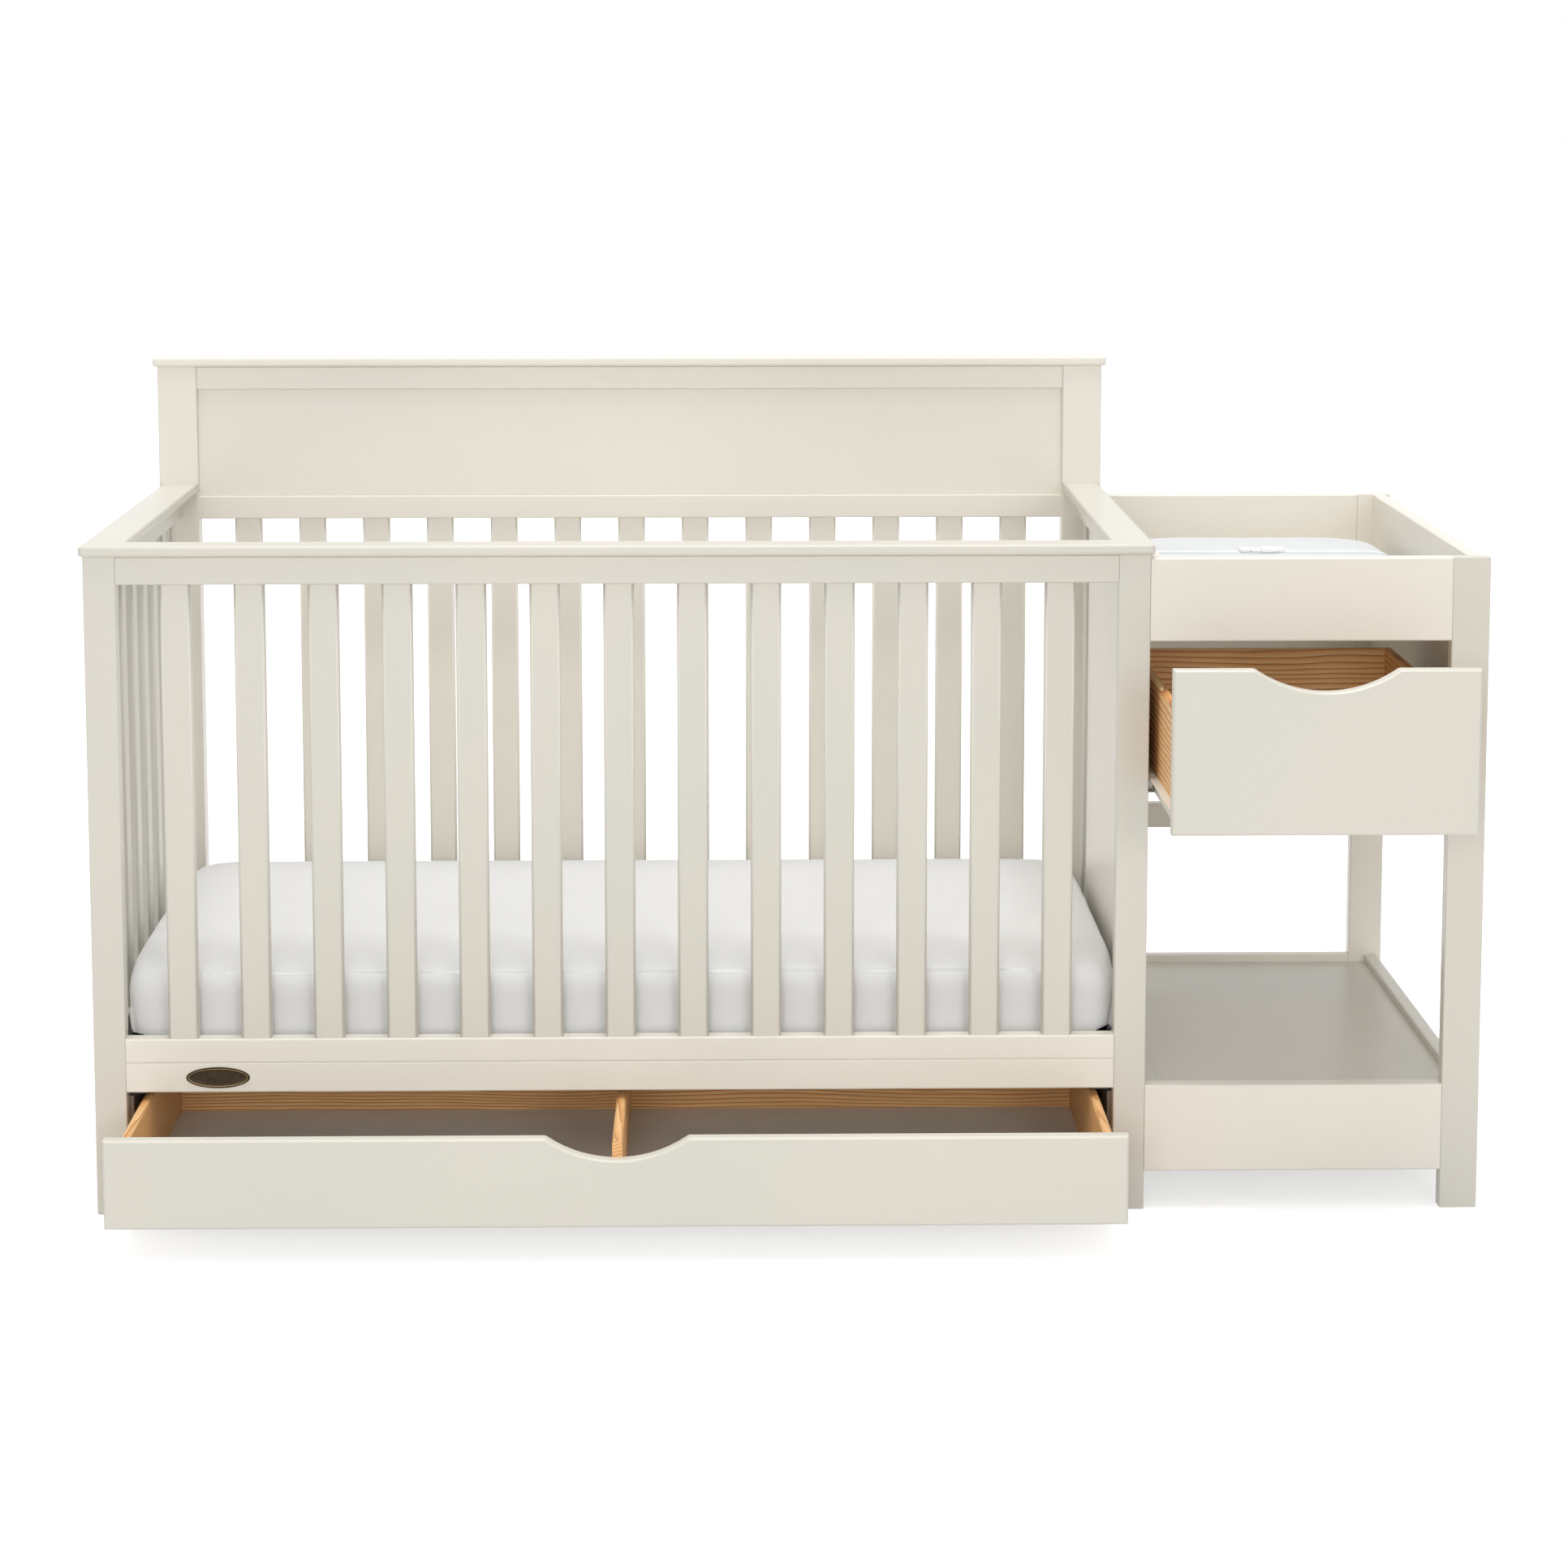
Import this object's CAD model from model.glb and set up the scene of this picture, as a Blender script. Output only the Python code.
"""Looks of a crib with attached changer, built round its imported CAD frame.

Each sub-assembly of the furniture is a class that holds its own sizes, builds the meshes
that the plain solids stand for, and gives every board, sheet and fitting its finish.
All sizes are in metres unless a name says otherwise.
"""

import logging
import math
from dataclasses import dataclass, field
from enum import Enum
from typing import Iterable, Mapping, Optional, Sequence, Union

import bmesh
import bpy
import numpy as np
from mathutils import Euler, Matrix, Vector, noise
from mathutils.bvhtree import BVHTree


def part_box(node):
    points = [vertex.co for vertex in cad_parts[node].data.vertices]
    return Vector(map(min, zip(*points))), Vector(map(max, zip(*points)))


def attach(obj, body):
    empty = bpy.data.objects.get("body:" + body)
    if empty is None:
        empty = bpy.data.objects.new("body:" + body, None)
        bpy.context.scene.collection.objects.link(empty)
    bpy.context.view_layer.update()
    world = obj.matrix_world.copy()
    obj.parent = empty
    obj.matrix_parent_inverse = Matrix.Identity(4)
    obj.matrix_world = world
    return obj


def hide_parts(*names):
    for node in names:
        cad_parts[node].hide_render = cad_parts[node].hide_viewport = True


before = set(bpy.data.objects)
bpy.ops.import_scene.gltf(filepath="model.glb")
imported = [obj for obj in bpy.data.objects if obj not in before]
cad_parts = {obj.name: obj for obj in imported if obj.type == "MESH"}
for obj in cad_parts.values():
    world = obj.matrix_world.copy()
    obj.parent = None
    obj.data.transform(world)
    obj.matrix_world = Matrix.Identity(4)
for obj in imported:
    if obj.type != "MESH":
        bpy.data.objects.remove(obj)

log = logging.getLogger("crib")

Point = tuple[float, float, float]
FlatPoint = tuple[float, float]
Socket = bpy.types.NodeSocket
Finish = bpy.types.Material
SocketValue = Union[float, int, bool, tuple, Socket, Finish]
Inputs = Mapping[Union[str, int], SocketValue]

TAU = 2 * math.pi
WHITE = (1.0, 1.0, 1.0, 1.0)
# A face whose normal lies this near an axis counts as flat.
EVEN_NORMAL = 0.9995
# The cosines between the softened and the flat normal at an edge and off it.
EDGE_COSINES = (0.80, 0.999)
# Points closer than this are one point.
MERGE = 1e-5
# A point that has moved less than this stands still.
STILL = 1e-9
# The steps to a metre by which the points of a solid are told apart.
POINT_GRID = 1e5
# The scale at which Blender's wave texture makes one band to a metre.
BAND_SCALE = TAU / 20


class GrainAxis(Enum):
    """The axis that a board's grain runs along."""

    X = 0
    Y = 1
    Z = 2


@dataclass(frozen=True)
class Box:
    """The lowest and highest corners of a solid."""

    low: Point
    high: Point

    @property
    def size(self) -> Vector:
        """The box's length along each axis."""
        return Vector(self.high) - Vector(self.low)

    @property
    def middle(self) -> Vector:
        """The box's centre."""
        return (Vector(self.high) + Vector(self.low)) / 2


def box_of(node: str) -> Box:
    """Gives the box of a CAD node.

    Args:
        node: The node's name.

    Returns:
        Its box at rest.
    """
    low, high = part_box(node)
    return Box(tuple(low), tuple(high))


def solids_of(node: str) -> list[Box]:
    """Finds the separate solids in one CAD node.

    Args:
        node: The node's name.

    Returns:
        The box of each solid, from left to right, then front to back.
    """
    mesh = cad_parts[node].data
    keys: dict[tuple[int, int, int], int] = {}
    owner = [keys.setdefault(tuple(round(c * POINT_GRID) for c in v.co), len(keys)) for v in mesh.vertices]
    parent = list(range(len(keys)))

    def root(index: int) -> int:
        """Follows a point up to the first point of its solid.

        Args:
            index: The point's number.

        Returns:
            The number of its solid's first point.
        """
        while parent[index] != index:
            parent[index] = parent[parent[index]]
            index = parent[index]
        return index

    for polygon in mesh.polygons:
        first, *others = (root(owner[v]) for v in polygon.vertices)
        for other in others:
            parent[root(other)] = root(first)
    groups: dict[int, list[Vector]] = {}
    for vertex in mesh.vertices:
        groups.setdefault(root(owner[vertex.index]), []).append(vertex.co)
    found = []
    for places in groups.values():
        spots = np.array(places)
        found.append(Box(tuple(spots.min(0)), tuple(spots.max(0))))
    return sorted(found, key=lambda box: (round(box.low[0], 3), round(box.low[1], 3), box.low[2]))


def linear(colour: str) -> tuple[float, float, float, float]:
    """Turns a colour such as "E2DDD0" into the linear values that a shader takes.

    Args:
        colour: Six hexadecimal digits.

    Returns:
        Red, green, blue and an alpha of one.
    """
    parts = [int(colour[i : i + 2], 16) / 255 for i in (0, 2, 4)]
    red, green, blue = (c / 12.92 if c < 0.04045 else ((c + 0.055) / 1.055) ** 2.4 for c in parts)
    return (red, green, blue, 1.0)


def join_inputs(tree: bpy.types.NodeTree, node: bpy.types.Node, inputs: Optional[Inputs]) -> None:
    """Sets or joins a node's inputs.

    Args:
        tree: The tree that holds the node.
        node: The node.
        inputs: Socket names or numbers, each with a value or with the socket that feeds it.
    """
    for key, value in (inputs or {}).items():
        socket = node.inputs[key]
        if isinstance(value, Socket):
            tree.links.new(value, socket)
        else:
            socket.default_value = value


def add_node(
    tree: bpy.types.NodeTree, kind: str, inputs: Optional[Inputs] = None, **settings: object
) -> bpy.types.Node:
    """Adds a node to a tree.

    Args:
        tree: The tree.
        kind: Blender's name for the node type.
        inputs: Socket names or numbers, each with a value or with the socket that feeds it.
        settings: Attributes of the node.

    Returns:
        The new node.
    """
    node = tree.nodes.new(kind)
    for name, value in settings.items():
        setattr(node, name, value)
    join_inputs(tree, node, inputs)
    return node


def keep_mesh(shape: bmesh.types.BMesh, name: str) -> bpy.types.Mesh:
    """Keeps a finished shape as a mesh and frees it.

    Args:
        shape: The shape.
        name: The mesh's name.

    Returns:
        The mesh.
    """
    mesh = bpy.data.meshes.new(name)
    shape.to_mesh(mesh)
    shape.free()
    return mesh


class ShaderGraph:
    """A material under construction, with short calls for the nodes that finishes share."""

    def __init__(self, name: str) -> None:
        """Starts a material that ends in one Principled shader.

        Args:
            name: The finish's name.
        """
        self.material = bpy.data.materials.new(name)
        self.material.use_nodes = True
        self.tree = self.material.node_tree
        self.tree.nodes.clear()
        self.shader = self.add("ShaderNodeBsdfPrincipled")
        self.add("ShaderNodeOutputMaterial", {"Surface": self.shader.outputs["BSDF"]})
        self.place = self.add("ShaderNodeTexCoord").outputs["Object"]

    def add(self, kind: str, inputs: Optional[Inputs] = None, **settings: object) -> bpy.types.Node:
        """Adds a node of that kind to the tree."""
        return add_node(self.tree, kind, inputs, **settings)

    def sum(self, operation: str, first: SocketValue, second: SocketValue = 0.0) -> Socket:
        """Adds a Math node and gives its result."""
        return self.add("ShaderNodeMath", {0: first, 1: second}, operation=operation).outputs[0]

    def stretched(self, scale: Point, turn: Point = (0, 0, 0), shift: Point = (0, 0, 0)) -> Socket:
        """Gives the object's coordinates after a stretch, a turn and a shift."""
        inputs = {"Vector": self.place, "Scale": scale, "Rotation": turn, "Location": shift}
        return self.add("ShaderNodeMapping", inputs).outputs["Vector"]

    def speckle(self, place: Socket, scale: float, detail: float = 2.0, rough: float = 0.5) -> Socket:
        """Gives a noise value from 0 to 1."""
        inputs = {"Vector": place, "Scale": scale, "Detail": detail, "Roughness": rough}
        return self.add("ShaderNodeTexNoise", inputs).outputs["Fac"]

    def bands(self, place: Socket, axis: str, pitch: float, bend: float = 0.0, **settings: str) -> Socket:
        """Gives bands across one axis, repeating at the pitch.

        Args:
            place: The coordinates.
            axis: The axis that the bands cross, "X", "Y" or "Z".
            pitch: How far apart they repeat.
            bend: How much noise bends them.
            settings: Attributes of the wave texture.

        Returns:
            A value from 0 to 1.
        """
        inputs = {"Vector": place, "Scale": BAND_SCALE / pitch, "Distortion": bend, "Detail": 2.0}
        node = self.add("ShaderNodeTexWave", inputs, wave_type="BANDS", bands_direction=axis, **settings)
        return node.outputs["Fac"]

    def ramp(self, value: Socket, stops: Sequence[tuple[float, str]]) -> Socket:
        """Gives a colour that follows a value through the stops.

        Args:
            value: The value.
            stops: Positions from 0 to 1, each with its colour.

        Returns:
            The colour.
        """
        node = self.add("ShaderNodeValToRGB", {"Fac": value})
        elements = node.color_ramp.elements
        while len(elements) < len(stops):
            elements.new(0.5)
        for element, (position, colour) in zip(elements, stops):
            element.position = position
            element.color = linear(colour)
        return node.outputs["Color"]

    def span(self, value: Socket, low: float, high: float, start: float = 0, end: float = 1) -> Socket:
        """Maps a value's range from start..end onto low..high."""
        inputs = {"Value": value, "From Min": start, "From Max": end, "To Min": low, "To Max": high}
        return self.add("ShaderNodeMapRange", inputs, clamp=True).outputs["Result"]

    def blend(self, share: SocketValue, first: SocketValue, second: SocketValue) -> Socket:
        """Mixes two colours."""
        inputs = {0: share, 6: first, 7: second}
        return self.add("ShaderNodeMix", inputs, data_type="RGBA").outputs[2]

    def relief(self, height: Socket, depth: float, under: Optional[Socket] = None) -> Socket:
        """Gives a normal raised by a height of up to the depth.

        Args:
            height: A value from 0 to 1.
            depth: How far a height of 1 stands out.
            under: The normal that it starts from, where that isn't the surface's own.

        Returns:
            The normal.
        """
        inputs = {"Height": height, "Distance": depth, "Strength": 1.0}
        if under is not None:
            inputs["Normal"] = under
        return self.add("ShaderNodeBump", inputs).outputs["Normal"]

    def softened(self, radius: float) -> Socket:
        """Gives a normal that rounds a solid's edges."""
        return self.add("ShaderNodeBevel", {"Radius": radius}, samples=6).outputs["Normal"]

    def edge(self, soft: Socket) -> Socket:
        """Gives 1 along a softened edge and 0 on a flat face.

        Args:
            soft: The softened normal.

        Returns:
            The share.
        """
        flat = self.add("ShaderNodeNewGeometry").outputs["Normal"]
        both = self.add("ShaderNodeVectorMath", {0: soft, 1: flat}, operation="DOT_PRODUCT")
        return self.span(both.outputs["Value"], 1.0, 0.0, *EDGE_COSINES)

    def finish(self, **inputs: SocketValue) -> Finish:
        """Sets the Principled shader's sockets, by name with _ for spaces.

        Args:
            inputs: A value or a socket for each.

        Returns:
            The finished material.
        """
        join_inputs(self.tree, self.shader, {k.replace("_", " "): v for k, v in inputs.items()})
        return self.material


@dataclass(frozen=True)
class SatinPaint:
    """Sprayed satin paint on wood: slight mottling, faint orange peel, edges rubbed a little lighter.

    Attributes:
        name: The material's name.
        colour: Its main tone.
        warm: The tone that it drifts to in broad patches.
        rubbed: The tone of its edges.
        speck: The tone of its fine specks.
        edge_radius: How far the edges of a board are rounded.
        mottle_scale: The scale of the broad patches.
        grit_scale: The scale of the specks and of the gloss.
        peel_scale: The scale of the orange peel.
        sag_scale: The scale of the slow waves under it.
        peel_depth: How far both stand out.
        roughness: The lowest and highest roughness.
    """

    name: str = "satin_paint"
    colour: str = "D0CDC2"
    warm: str = "D5D0C4"
    rubbed: str = "ECE9E1"
    speck: str = "C9C3B5"
    edge_radius: float = 0.0012
    mottle_scale: float = 2.2
    grit_scale: float = 60.0
    peel_scale: float = 420.0
    sag_scale: float = 45.0
    peel_depth: float = 0.00012
    roughness: FlatPoint = (0.27, 0.37)

    def material(self) -> Finish:
        """Builds the paint.

        Returns:
            The finished material.
        """
        graph = ShaderGraph(self.name)
        broad = graph.speckle(graph.place, self.mottle_scale)
        fine = graph.speckle(graph.place, self.grit_scale, 3.0)
        tone = graph.blend(graph.span(broad, 0.0, 1.0, 0.35, 0.65), linear(self.colour), linear(self.warm))
        shade = graph.blend(graph.span(fine, 0.0, 0.05), tone, linear(self.speck))
        soft = graph.softened(self.edge_radius)
        worn = graph.sum("MULTIPLY", graph.edge(soft), graph.span(fine, 0.35, 0.75, 0.3, 0.7))
        coat = graph.blend(worn, shade, linear(self.rubbed))
        peel = graph.speckle(graph.place, self.peel_scale)
        skin = graph.sum("ADD", peel, graph.speckle(graph.place, self.sag_scale, 1.0))
        gloss = graph.span(fine, *self.roughness)
        normal = graph.relief(skin, self.peel_depth, soft)
        return graph.finish(Base_Color=coat, Roughness=gloss, Normal=normal, IOR=1.45)


@dataclass(frozen=True)
class PineBoard:
    """Lacquered pine with wavy growth rings, fine fibres and broad patches of tone.

    Attributes:
        name: The material's name.
        axis: The axis that the grain runs along.
        ring_pitch: How far apart the growth rings lie.
        ring_tilt: How far they are turned about the grain, in radians.
        wander: How far they wander slowly.
        ripple: How far they ripple, as a share of the pitch.
        shift: Where in the log the board was cut.
        stretch: How much the pattern is stretched along the grain, as a share.
        fibres_across: The fibres' scale across the grain.
        fibres_along: Their scale along it.
        wander_scale: The scale of the slow wandering.
        ripple_scale: The scale of the ripples.
        patch_scale: The scale of the broad patches.
        late_wood: The power that narrows a ring's dark edge.
        edge_radius: How far the edges of a board are rounded.
        depth: How far the grain stands out.
        roughness: The lowest and highest roughness.
        ring_tones: The colours from a ring's pale side to its dark edge.
        patch: The tone of the broad patches.
        fibre: The tone of the fibres.
        rubbed: The tone of the edges.
    """

    name: str
    axis: GrainAxis
    ring_pitch: float = 0.0085
    ring_tilt: float = 0.35
    wander: float = 0.05
    ripple: float = 0.7
    shift: Point = (0.0, 0.0, 0.0)
    stretch: float = 0.17
    fibres_across: float = 900.0
    fibres_along: float = 16.0
    wander_scale: float = 8.0
    ripple_scale: float = 60.0
    patch_scale: float = 6.0
    late_wood: float = 1.9
    edge_radius: float = 0.0012
    depth: float = 0.00018
    roughness: FlatPoint = (0.38, 0.55)
    ring_tones: tuple[tuple[float, str], ...] = (
        (0.0, "FBD59C"),
        (0.45, "F1B878"),
        (0.74, "CC8245"),
        (0.92, "86471F"),
    )
    patch: str = "EBAD69"
    fibre: str = "A86E3B"
    rubbed: str = "F0D3A0"

    def material(self) -> Finish:
        """Builds the wood.

        Returns:
            The finished material.
        """
        graph = ShaderGraph(self.name)
        along, turn = [1.0, 1.0, 1.0], [0.0, 0.0, 0.0]
        along[self.axis.value], turn[self.axis.value] = self.stretch, self.ring_tilt
        long = graph.stretched(tuple(along), tuple(turn), self.shift)
        waves = graph.sum("SUBTRACT", graph.speckle(long, self.wander_scale, 2.0, 0.45), 0.5)
        ripples = graph.sum("SUBTRACT", graph.speckle(long, self.ripple_scale, 1.0), 0.5)
        swing = graph.sum("MULTIPLY", ripples, self.ring_pitch * self.ripple)
        drift = graph.sum("ADD", graph.sum("MULTIPLY", waves, self.wander), swing)
        pushed = graph.add("ShaderNodeVectorMath", {0: long, 1: drift}, operation="ADD").outputs["Vector"]
        rings = graph.bands(pushed, "Z", self.ring_pitch, 0.5, wave_profile="SAW")
        sharp = graph.sum("POWER", rings, self.late_wood)
        fibre_scale = tuple(self.fibres_across if s == 1.0 else self.fibres_along for s in along)
        fibres = graph.speckle(graph.stretched(fibre_scale), 1.0, 2.0, 0.6)
        patch = graph.speckle(long, self.patch_scale, 1.0)
        wood = graph.ramp(sharp, self.ring_tones)
        warm = graph.blend(graph.span(patch, 0.0, 0.5, 0.35, 0.7), wood, linear(self.patch))
        grain = graph.blend(graph.span(fibres, 0.0, 0.28, 0.35, 0.75), warm, linear(self.fibre))
        soft = graph.softened(self.edge_radius)
        lacquer = graph.blend(graph.sum("MULTIPLY", graph.edge(soft), 0.6), grain, linear(self.rubbed))
        height = graph.sum("ADD", graph.sum("MULTIPLY", sharp, 0.6), fibres)
        return graph.finish(
            Base_Color=lacquer,
            Roughness=graph.span(fibres, *self.roughness),
            Normal=graph.relief(height, self.depth, soft),
        )


@dataclass(frozen=True)
class FacedBoard:
    """Pressed board with a dull printed or primed face and fine specks."""

    name: str
    colour: str
    speck: str
    speck_scale: float = 700.0
    cloud_scale: float = 7.0
    depth: float = 0.0001
    roughness: FlatPoint = (0.5, 0.72)

    def material(self) -> Finish:
        """Builds the board's face.

        Returns:
            The finished material.
        """
        graph = ShaderGraph(self.name)
        specks = graph.speckle(graph.place, self.speck_scale, 3.0, 0.7)
        cloud = graph.speckle(graph.place, self.cloud_scale, 3.0)
        tone = graph.blend(graph.span(cloud, 0.0, 0.5, 0.3, 0.7), linear(self.colour), linear(self.speck))
        face = graph.blend(graph.span(specks, 0.0, 0.45, 0.45, 0.75), tone, linear(self.speck))
        gloss = graph.span(specks, *self.roughness)
        return graph.finish(Base_Color=face, Roughness=gloss, Normal=graph.relief(specks, self.depth))


@dataclass(frozen=True)
class CoatedMetal:
    """Pressed or drawn steel under enamel, or bare plating where it is metallic."""

    name: str
    colour: str
    dull: str
    metallic: float = 0.0
    roughness: float = 0.35
    edge_radius: float = 0.0008
    worn: float = 0.35
    bare: str = "D8D6D0"
    patch_scale: float = 35.0
    grit_scale: float = 900.0
    depth: float = 0.00006

    def material(self) -> Finish:
        """Builds the metal's surface.

        Returns:
            The finished material.
        """
        graph = ShaderGraph(self.name)
        patches = graph.speckle(graph.place, self.patch_scale, 4.0, 0.6)
        grit = graph.speckle(graph.place, self.grit_scale)
        tone = graph.blend(graph.span(patches, 0.0, 0.6, 0.35, 0.7), linear(self.colour), linear(self.dull))
        soft = graph.softened(self.edge_radius)
        rub = graph.sum("MULTIPLY", graph.edge(soft), self.worn)
        skin = graph.blend(rub, tone, linear(self.bare))
        gloss = graph.span(patches, self.roughness - 0.07, self.roughness + 0.1)
        return graph.finish(
            Base_Color=skin,
            Metallic=self.metallic,
            Roughness=gloss,
            Normal=graph.relief(grit, self.depth, soft),
        )


@dataclass(frozen=True)
class MouldedNylon:
    """Pale moulded plastic with a faint grain, which lets a little light in."""

    name: str = "roller_nylon"
    colour: str = "EAE8E0"
    cloudy: str = "D6D3C8"
    grain_scale: float = 500.0
    cloud_scale: float = 40.0
    depth: float = 0.00005
    light_reach: float = 0.002
    roughness: FlatPoint = (0.35, 0.5)

    def material(self) -> Finish:
        """Builds the plastic.

        Returns:
            The finished material.
        """
        graph = ShaderGraph(self.name)
        grain = graph.speckle(graph.place, self.grain_scale)
        cloud = graph.speckle(graph.place, self.cloud_scale)
        tone = graph.blend(graph.span(cloud, 0.0, 0.5), linear(self.colour), linear(self.cloudy))
        return graph.finish(
            Base_Color=tone,
            Roughness=graph.span(grain, *self.roughness),
            Normal=graph.relief(grain, self.depth),
            Subsurface_Weight=0.1,
            Subsurface_Radius=(self.light_reach,) * 3,
        )


@dataclass(frozen=True)
class WovenCloth:
    """Plain woven cloth whose threads cross on every face that it covers."""

    name: str
    colour: str
    shade: str
    thread: float = 0.0007
    lift: float = 0.00022
    crumple: float = 0.0004
    roughness: float = 0.85
    sheen: float = 0.25
    fold_scale: float = 9.0
    slub_scale: float = 240.0
    crumple_scale: float = 14.0

    def material(self) -> Finish:
        """Builds the cloth.

        Returns:
            The finished material.
        """
        graph = ShaderGraph(self.name)
        threads = [graph.bands(graph.place, axis, self.thread, 0.6) for axis in "XYZ"]
        weave = graph.sum("ADD", graph.sum("ADD", threads[0], threads[1]), threads[2])
        folds = graph.speckle(graph.place, self.fold_scale, 3.0, 0.55)
        slub = graph.speckle(graph.place, self.slub_scale)
        tone = graph.blend(graph.span(folds, 0.0, 0.5, 0.3, 0.7), linear(self.colour), linear(self.shade))
        worn = graph.blend(graph.span(slub, 0.0, 0.22, 0.4, 0.8), tone, linear(self.shade))
        cloth = graph.blend(graph.span(weave, 0.12, 0.0, 0.2, 1.6), worn, linear(self.shade))
        gentle = graph.relief(graph.speckle(graph.place, self.crumple_scale), self.crumple)
        return graph.finish(
            Base_Color=cloth,
            Roughness=graph.span(slub, self.roughness - 0.08, self.roughness + 0.08),
            Normal=graph.relief(weave, self.lift, gentle),
            Sheen_Weight=self.sheen,
            Sheen_Roughness=0.5,
        )


@dataclass(frozen=True)
class AgedBronze:
    """Cast bronze with a brown patina, brighter where it is raised."""

    name: str
    colour: str
    patina: str
    roughness: float = 0.42
    cloud_scale: float = 160.0
    brushing: Point = (40.0, 900.0, 900.0)
    depth: float = 0.00008
    edge_radius: float = 0.0004

    def material(self) -> Finish:
        """Builds the metal.

        Returns:
            The finished material.
        """
        graph = ShaderGraph(self.name)
        cloud = graph.speckle(graph.place, self.cloud_scale, 4.0, 0.65)
        brushed = graph.speckle(graph.stretched(self.brushing), 1.0)
        tone = graph.blend(graph.span(cloud, 0.0, 1.0, 0.3, 0.7), linear(self.colour), linear(self.patina))
        return graph.finish(
            Base_Color=tone,
            Metallic=0.85,
            Roughness=graph.span(cloud, self.roughness - 0.08, self.roughness + 0.14),
            Normal=graph.relief(brushed, self.depth, graph.softened(self.edge_radius)),
        )


@dataclass(frozen=True)
class Webbing:
    """Narrow woven tape with ribs across it."""

    name: str = "webbing"
    colour: str = "EEF0F2"
    groove: str = "D9DCDF"
    rib: float = 0.0016
    fuzz_scale: float = 600.0
    depth: float = 0.0003
    roughness: FlatPoint = (0.7, 0.9)

    def material(self) -> Finish:
        """Builds the tape.

        Returns:
            The finished material.
        """
        graph = ShaderGraph(self.name)
        ribs = graph.bands(graph.place, "X", self.rib, 0.3)
        lines = graph.bands(graph.place, "Y", self.rib * 0.6, 0.3)
        weave = graph.sum("MULTIPLY", ribs, lines)
        fuzz = graph.speckle(graph.place, self.fuzz_scale)
        tone = graph.blend(graph.span(weave, 0.35, 0.0), linear(self.colour), linear(self.groove))
        gloss = graph.span(fuzz, *self.roughness)
        return graph.finish(Base_Color=tone, Roughness=gloss, Normal=graph.relief(weave, self.depth))


@dataclass
class Finishes:
    """Every finish of the furniture, built once and shared by its sub-assemblies."""

    paint: Finish = field(default_factory=SatinPaint().material)
    warm_paint: Finish = field(
        default_factory=SatinPaint("satin_paint_warm", "E2DDD2", "E7E1D5", "F2EFE8").material
    )
    drawer_floor: Finish = field(
        default_factory=FacedBoard("faced_hardboard", "EEEAE4", "DDD7CF").material
    )
    raw_board: Finish = field(
        default_factory=FacedBoard("primed_board", "8A7E6E", "6F6455").material
    )
    slide: Finish = field(
        default_factory=CoatedMetal("slide_enamel", "E6E3DA", "D5D1C6").material
    )
    nylon: Finish = field(default_factory=MouldedNylon().material)
    spring: Finish = field(
        default_factory=CoatedMetal("spring_enamel", "4B4B4C", "3A3A3B", roughness=0.4).material
    )
    black: Finish = field(
        default_factory=CoatedMetal("black_enamel", "1D1D1E", "2A2A2B", roughness=0.38).material
    )
    zinc: Finish = field(
        default_factory=CoatedMetal(
            "zinc_plate", "C9C8C2", "A8A79F", metallic=1.0, roughness=0.32, edge_radius=0.0005
        ).material
    )
    bed_cotton: Finish = field(
        default_factory=WovenCloth("sheet_cotton", "FBFBFA", "F5F5F3", crumple=0.00025).material
    )
    ticking: Finish = field(
        default_factory=WovenCloth("mattress_ticking", "E9E7E1", "D2CFC7", thread=0.0018).material
    )
    pad_cover: Finish = field(
        default_factory=WovenCloth("pad_cover", "EFF1F3", "E6E8EA", thread=0.0009).material
    )
    webbing: Finish = field(default_factory=Webbing().material)
    buckle: Finish = field(
        default_factory=MouldedNylon("buckle_plastic", "EEEFEF", "E4E6E6").material
    )


def link(name: str, mesh: bpy.types.Mesh, material: Optional[Finish] = None) -> bpy.types.Object:
    """Puts a mesh in the scene as a piece.

    Args:
        name: The piece's name.
        mesh: Its mesh, already in place.
        material: Its finish, where the mesh has none.

    Returns:
        The new object.
    """
    piece = bpy.data.objects.new(name, mesh)
    bpy.context.scene.collection.objects.link(piece)
    if material is not None:
        mesh.materials.clear()
        mesh.materials.append(material)
    return piece


def round_corners_only(mesh: bpy.types.Mesh) -> None:
    """Shades the rounded strips of a board smoothly and keeps its flat faces flat."""
    for polygon in mesh.polygons:
        polygon.use_smooth = max(abs(c) for c in polygon.normal) < EVEN_NORMAL


def place(piece: bpy.types.Object, body: str, slot: str, *nodes: str) -> bpy.types.Object:
    """Makes a piece ride on a body and stand for CAD nodes.

    Args:
        piece: The piece.
        body: The body that carries it.
        slot: The record's material slot of its finish.
        nodes: The CAD nodes that it stands for.

    Returns:
        The piece.
    """
    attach(piece, body)
    if nodes:
        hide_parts(*nodes)
    log.info("%s: %d faces on %s", piece.name, len(piece.data.polygons), body)
    return piece


def dress(material: Finish, *nodes: str) -> None:
    """Gives CAD nodes a finish in their own material slots.

    Args:
        material: The finish.
        nodes: The nodes' names.
    """
    for name in nodes:
        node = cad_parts[name]
        if not node.material_slots:
            node.data.materials.append(material)
        for slot in node.material_slots:
            slot.link = "OBJECT"
            slot.material = material
        log.info("%s: finished in %s", name, material.name)


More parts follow.
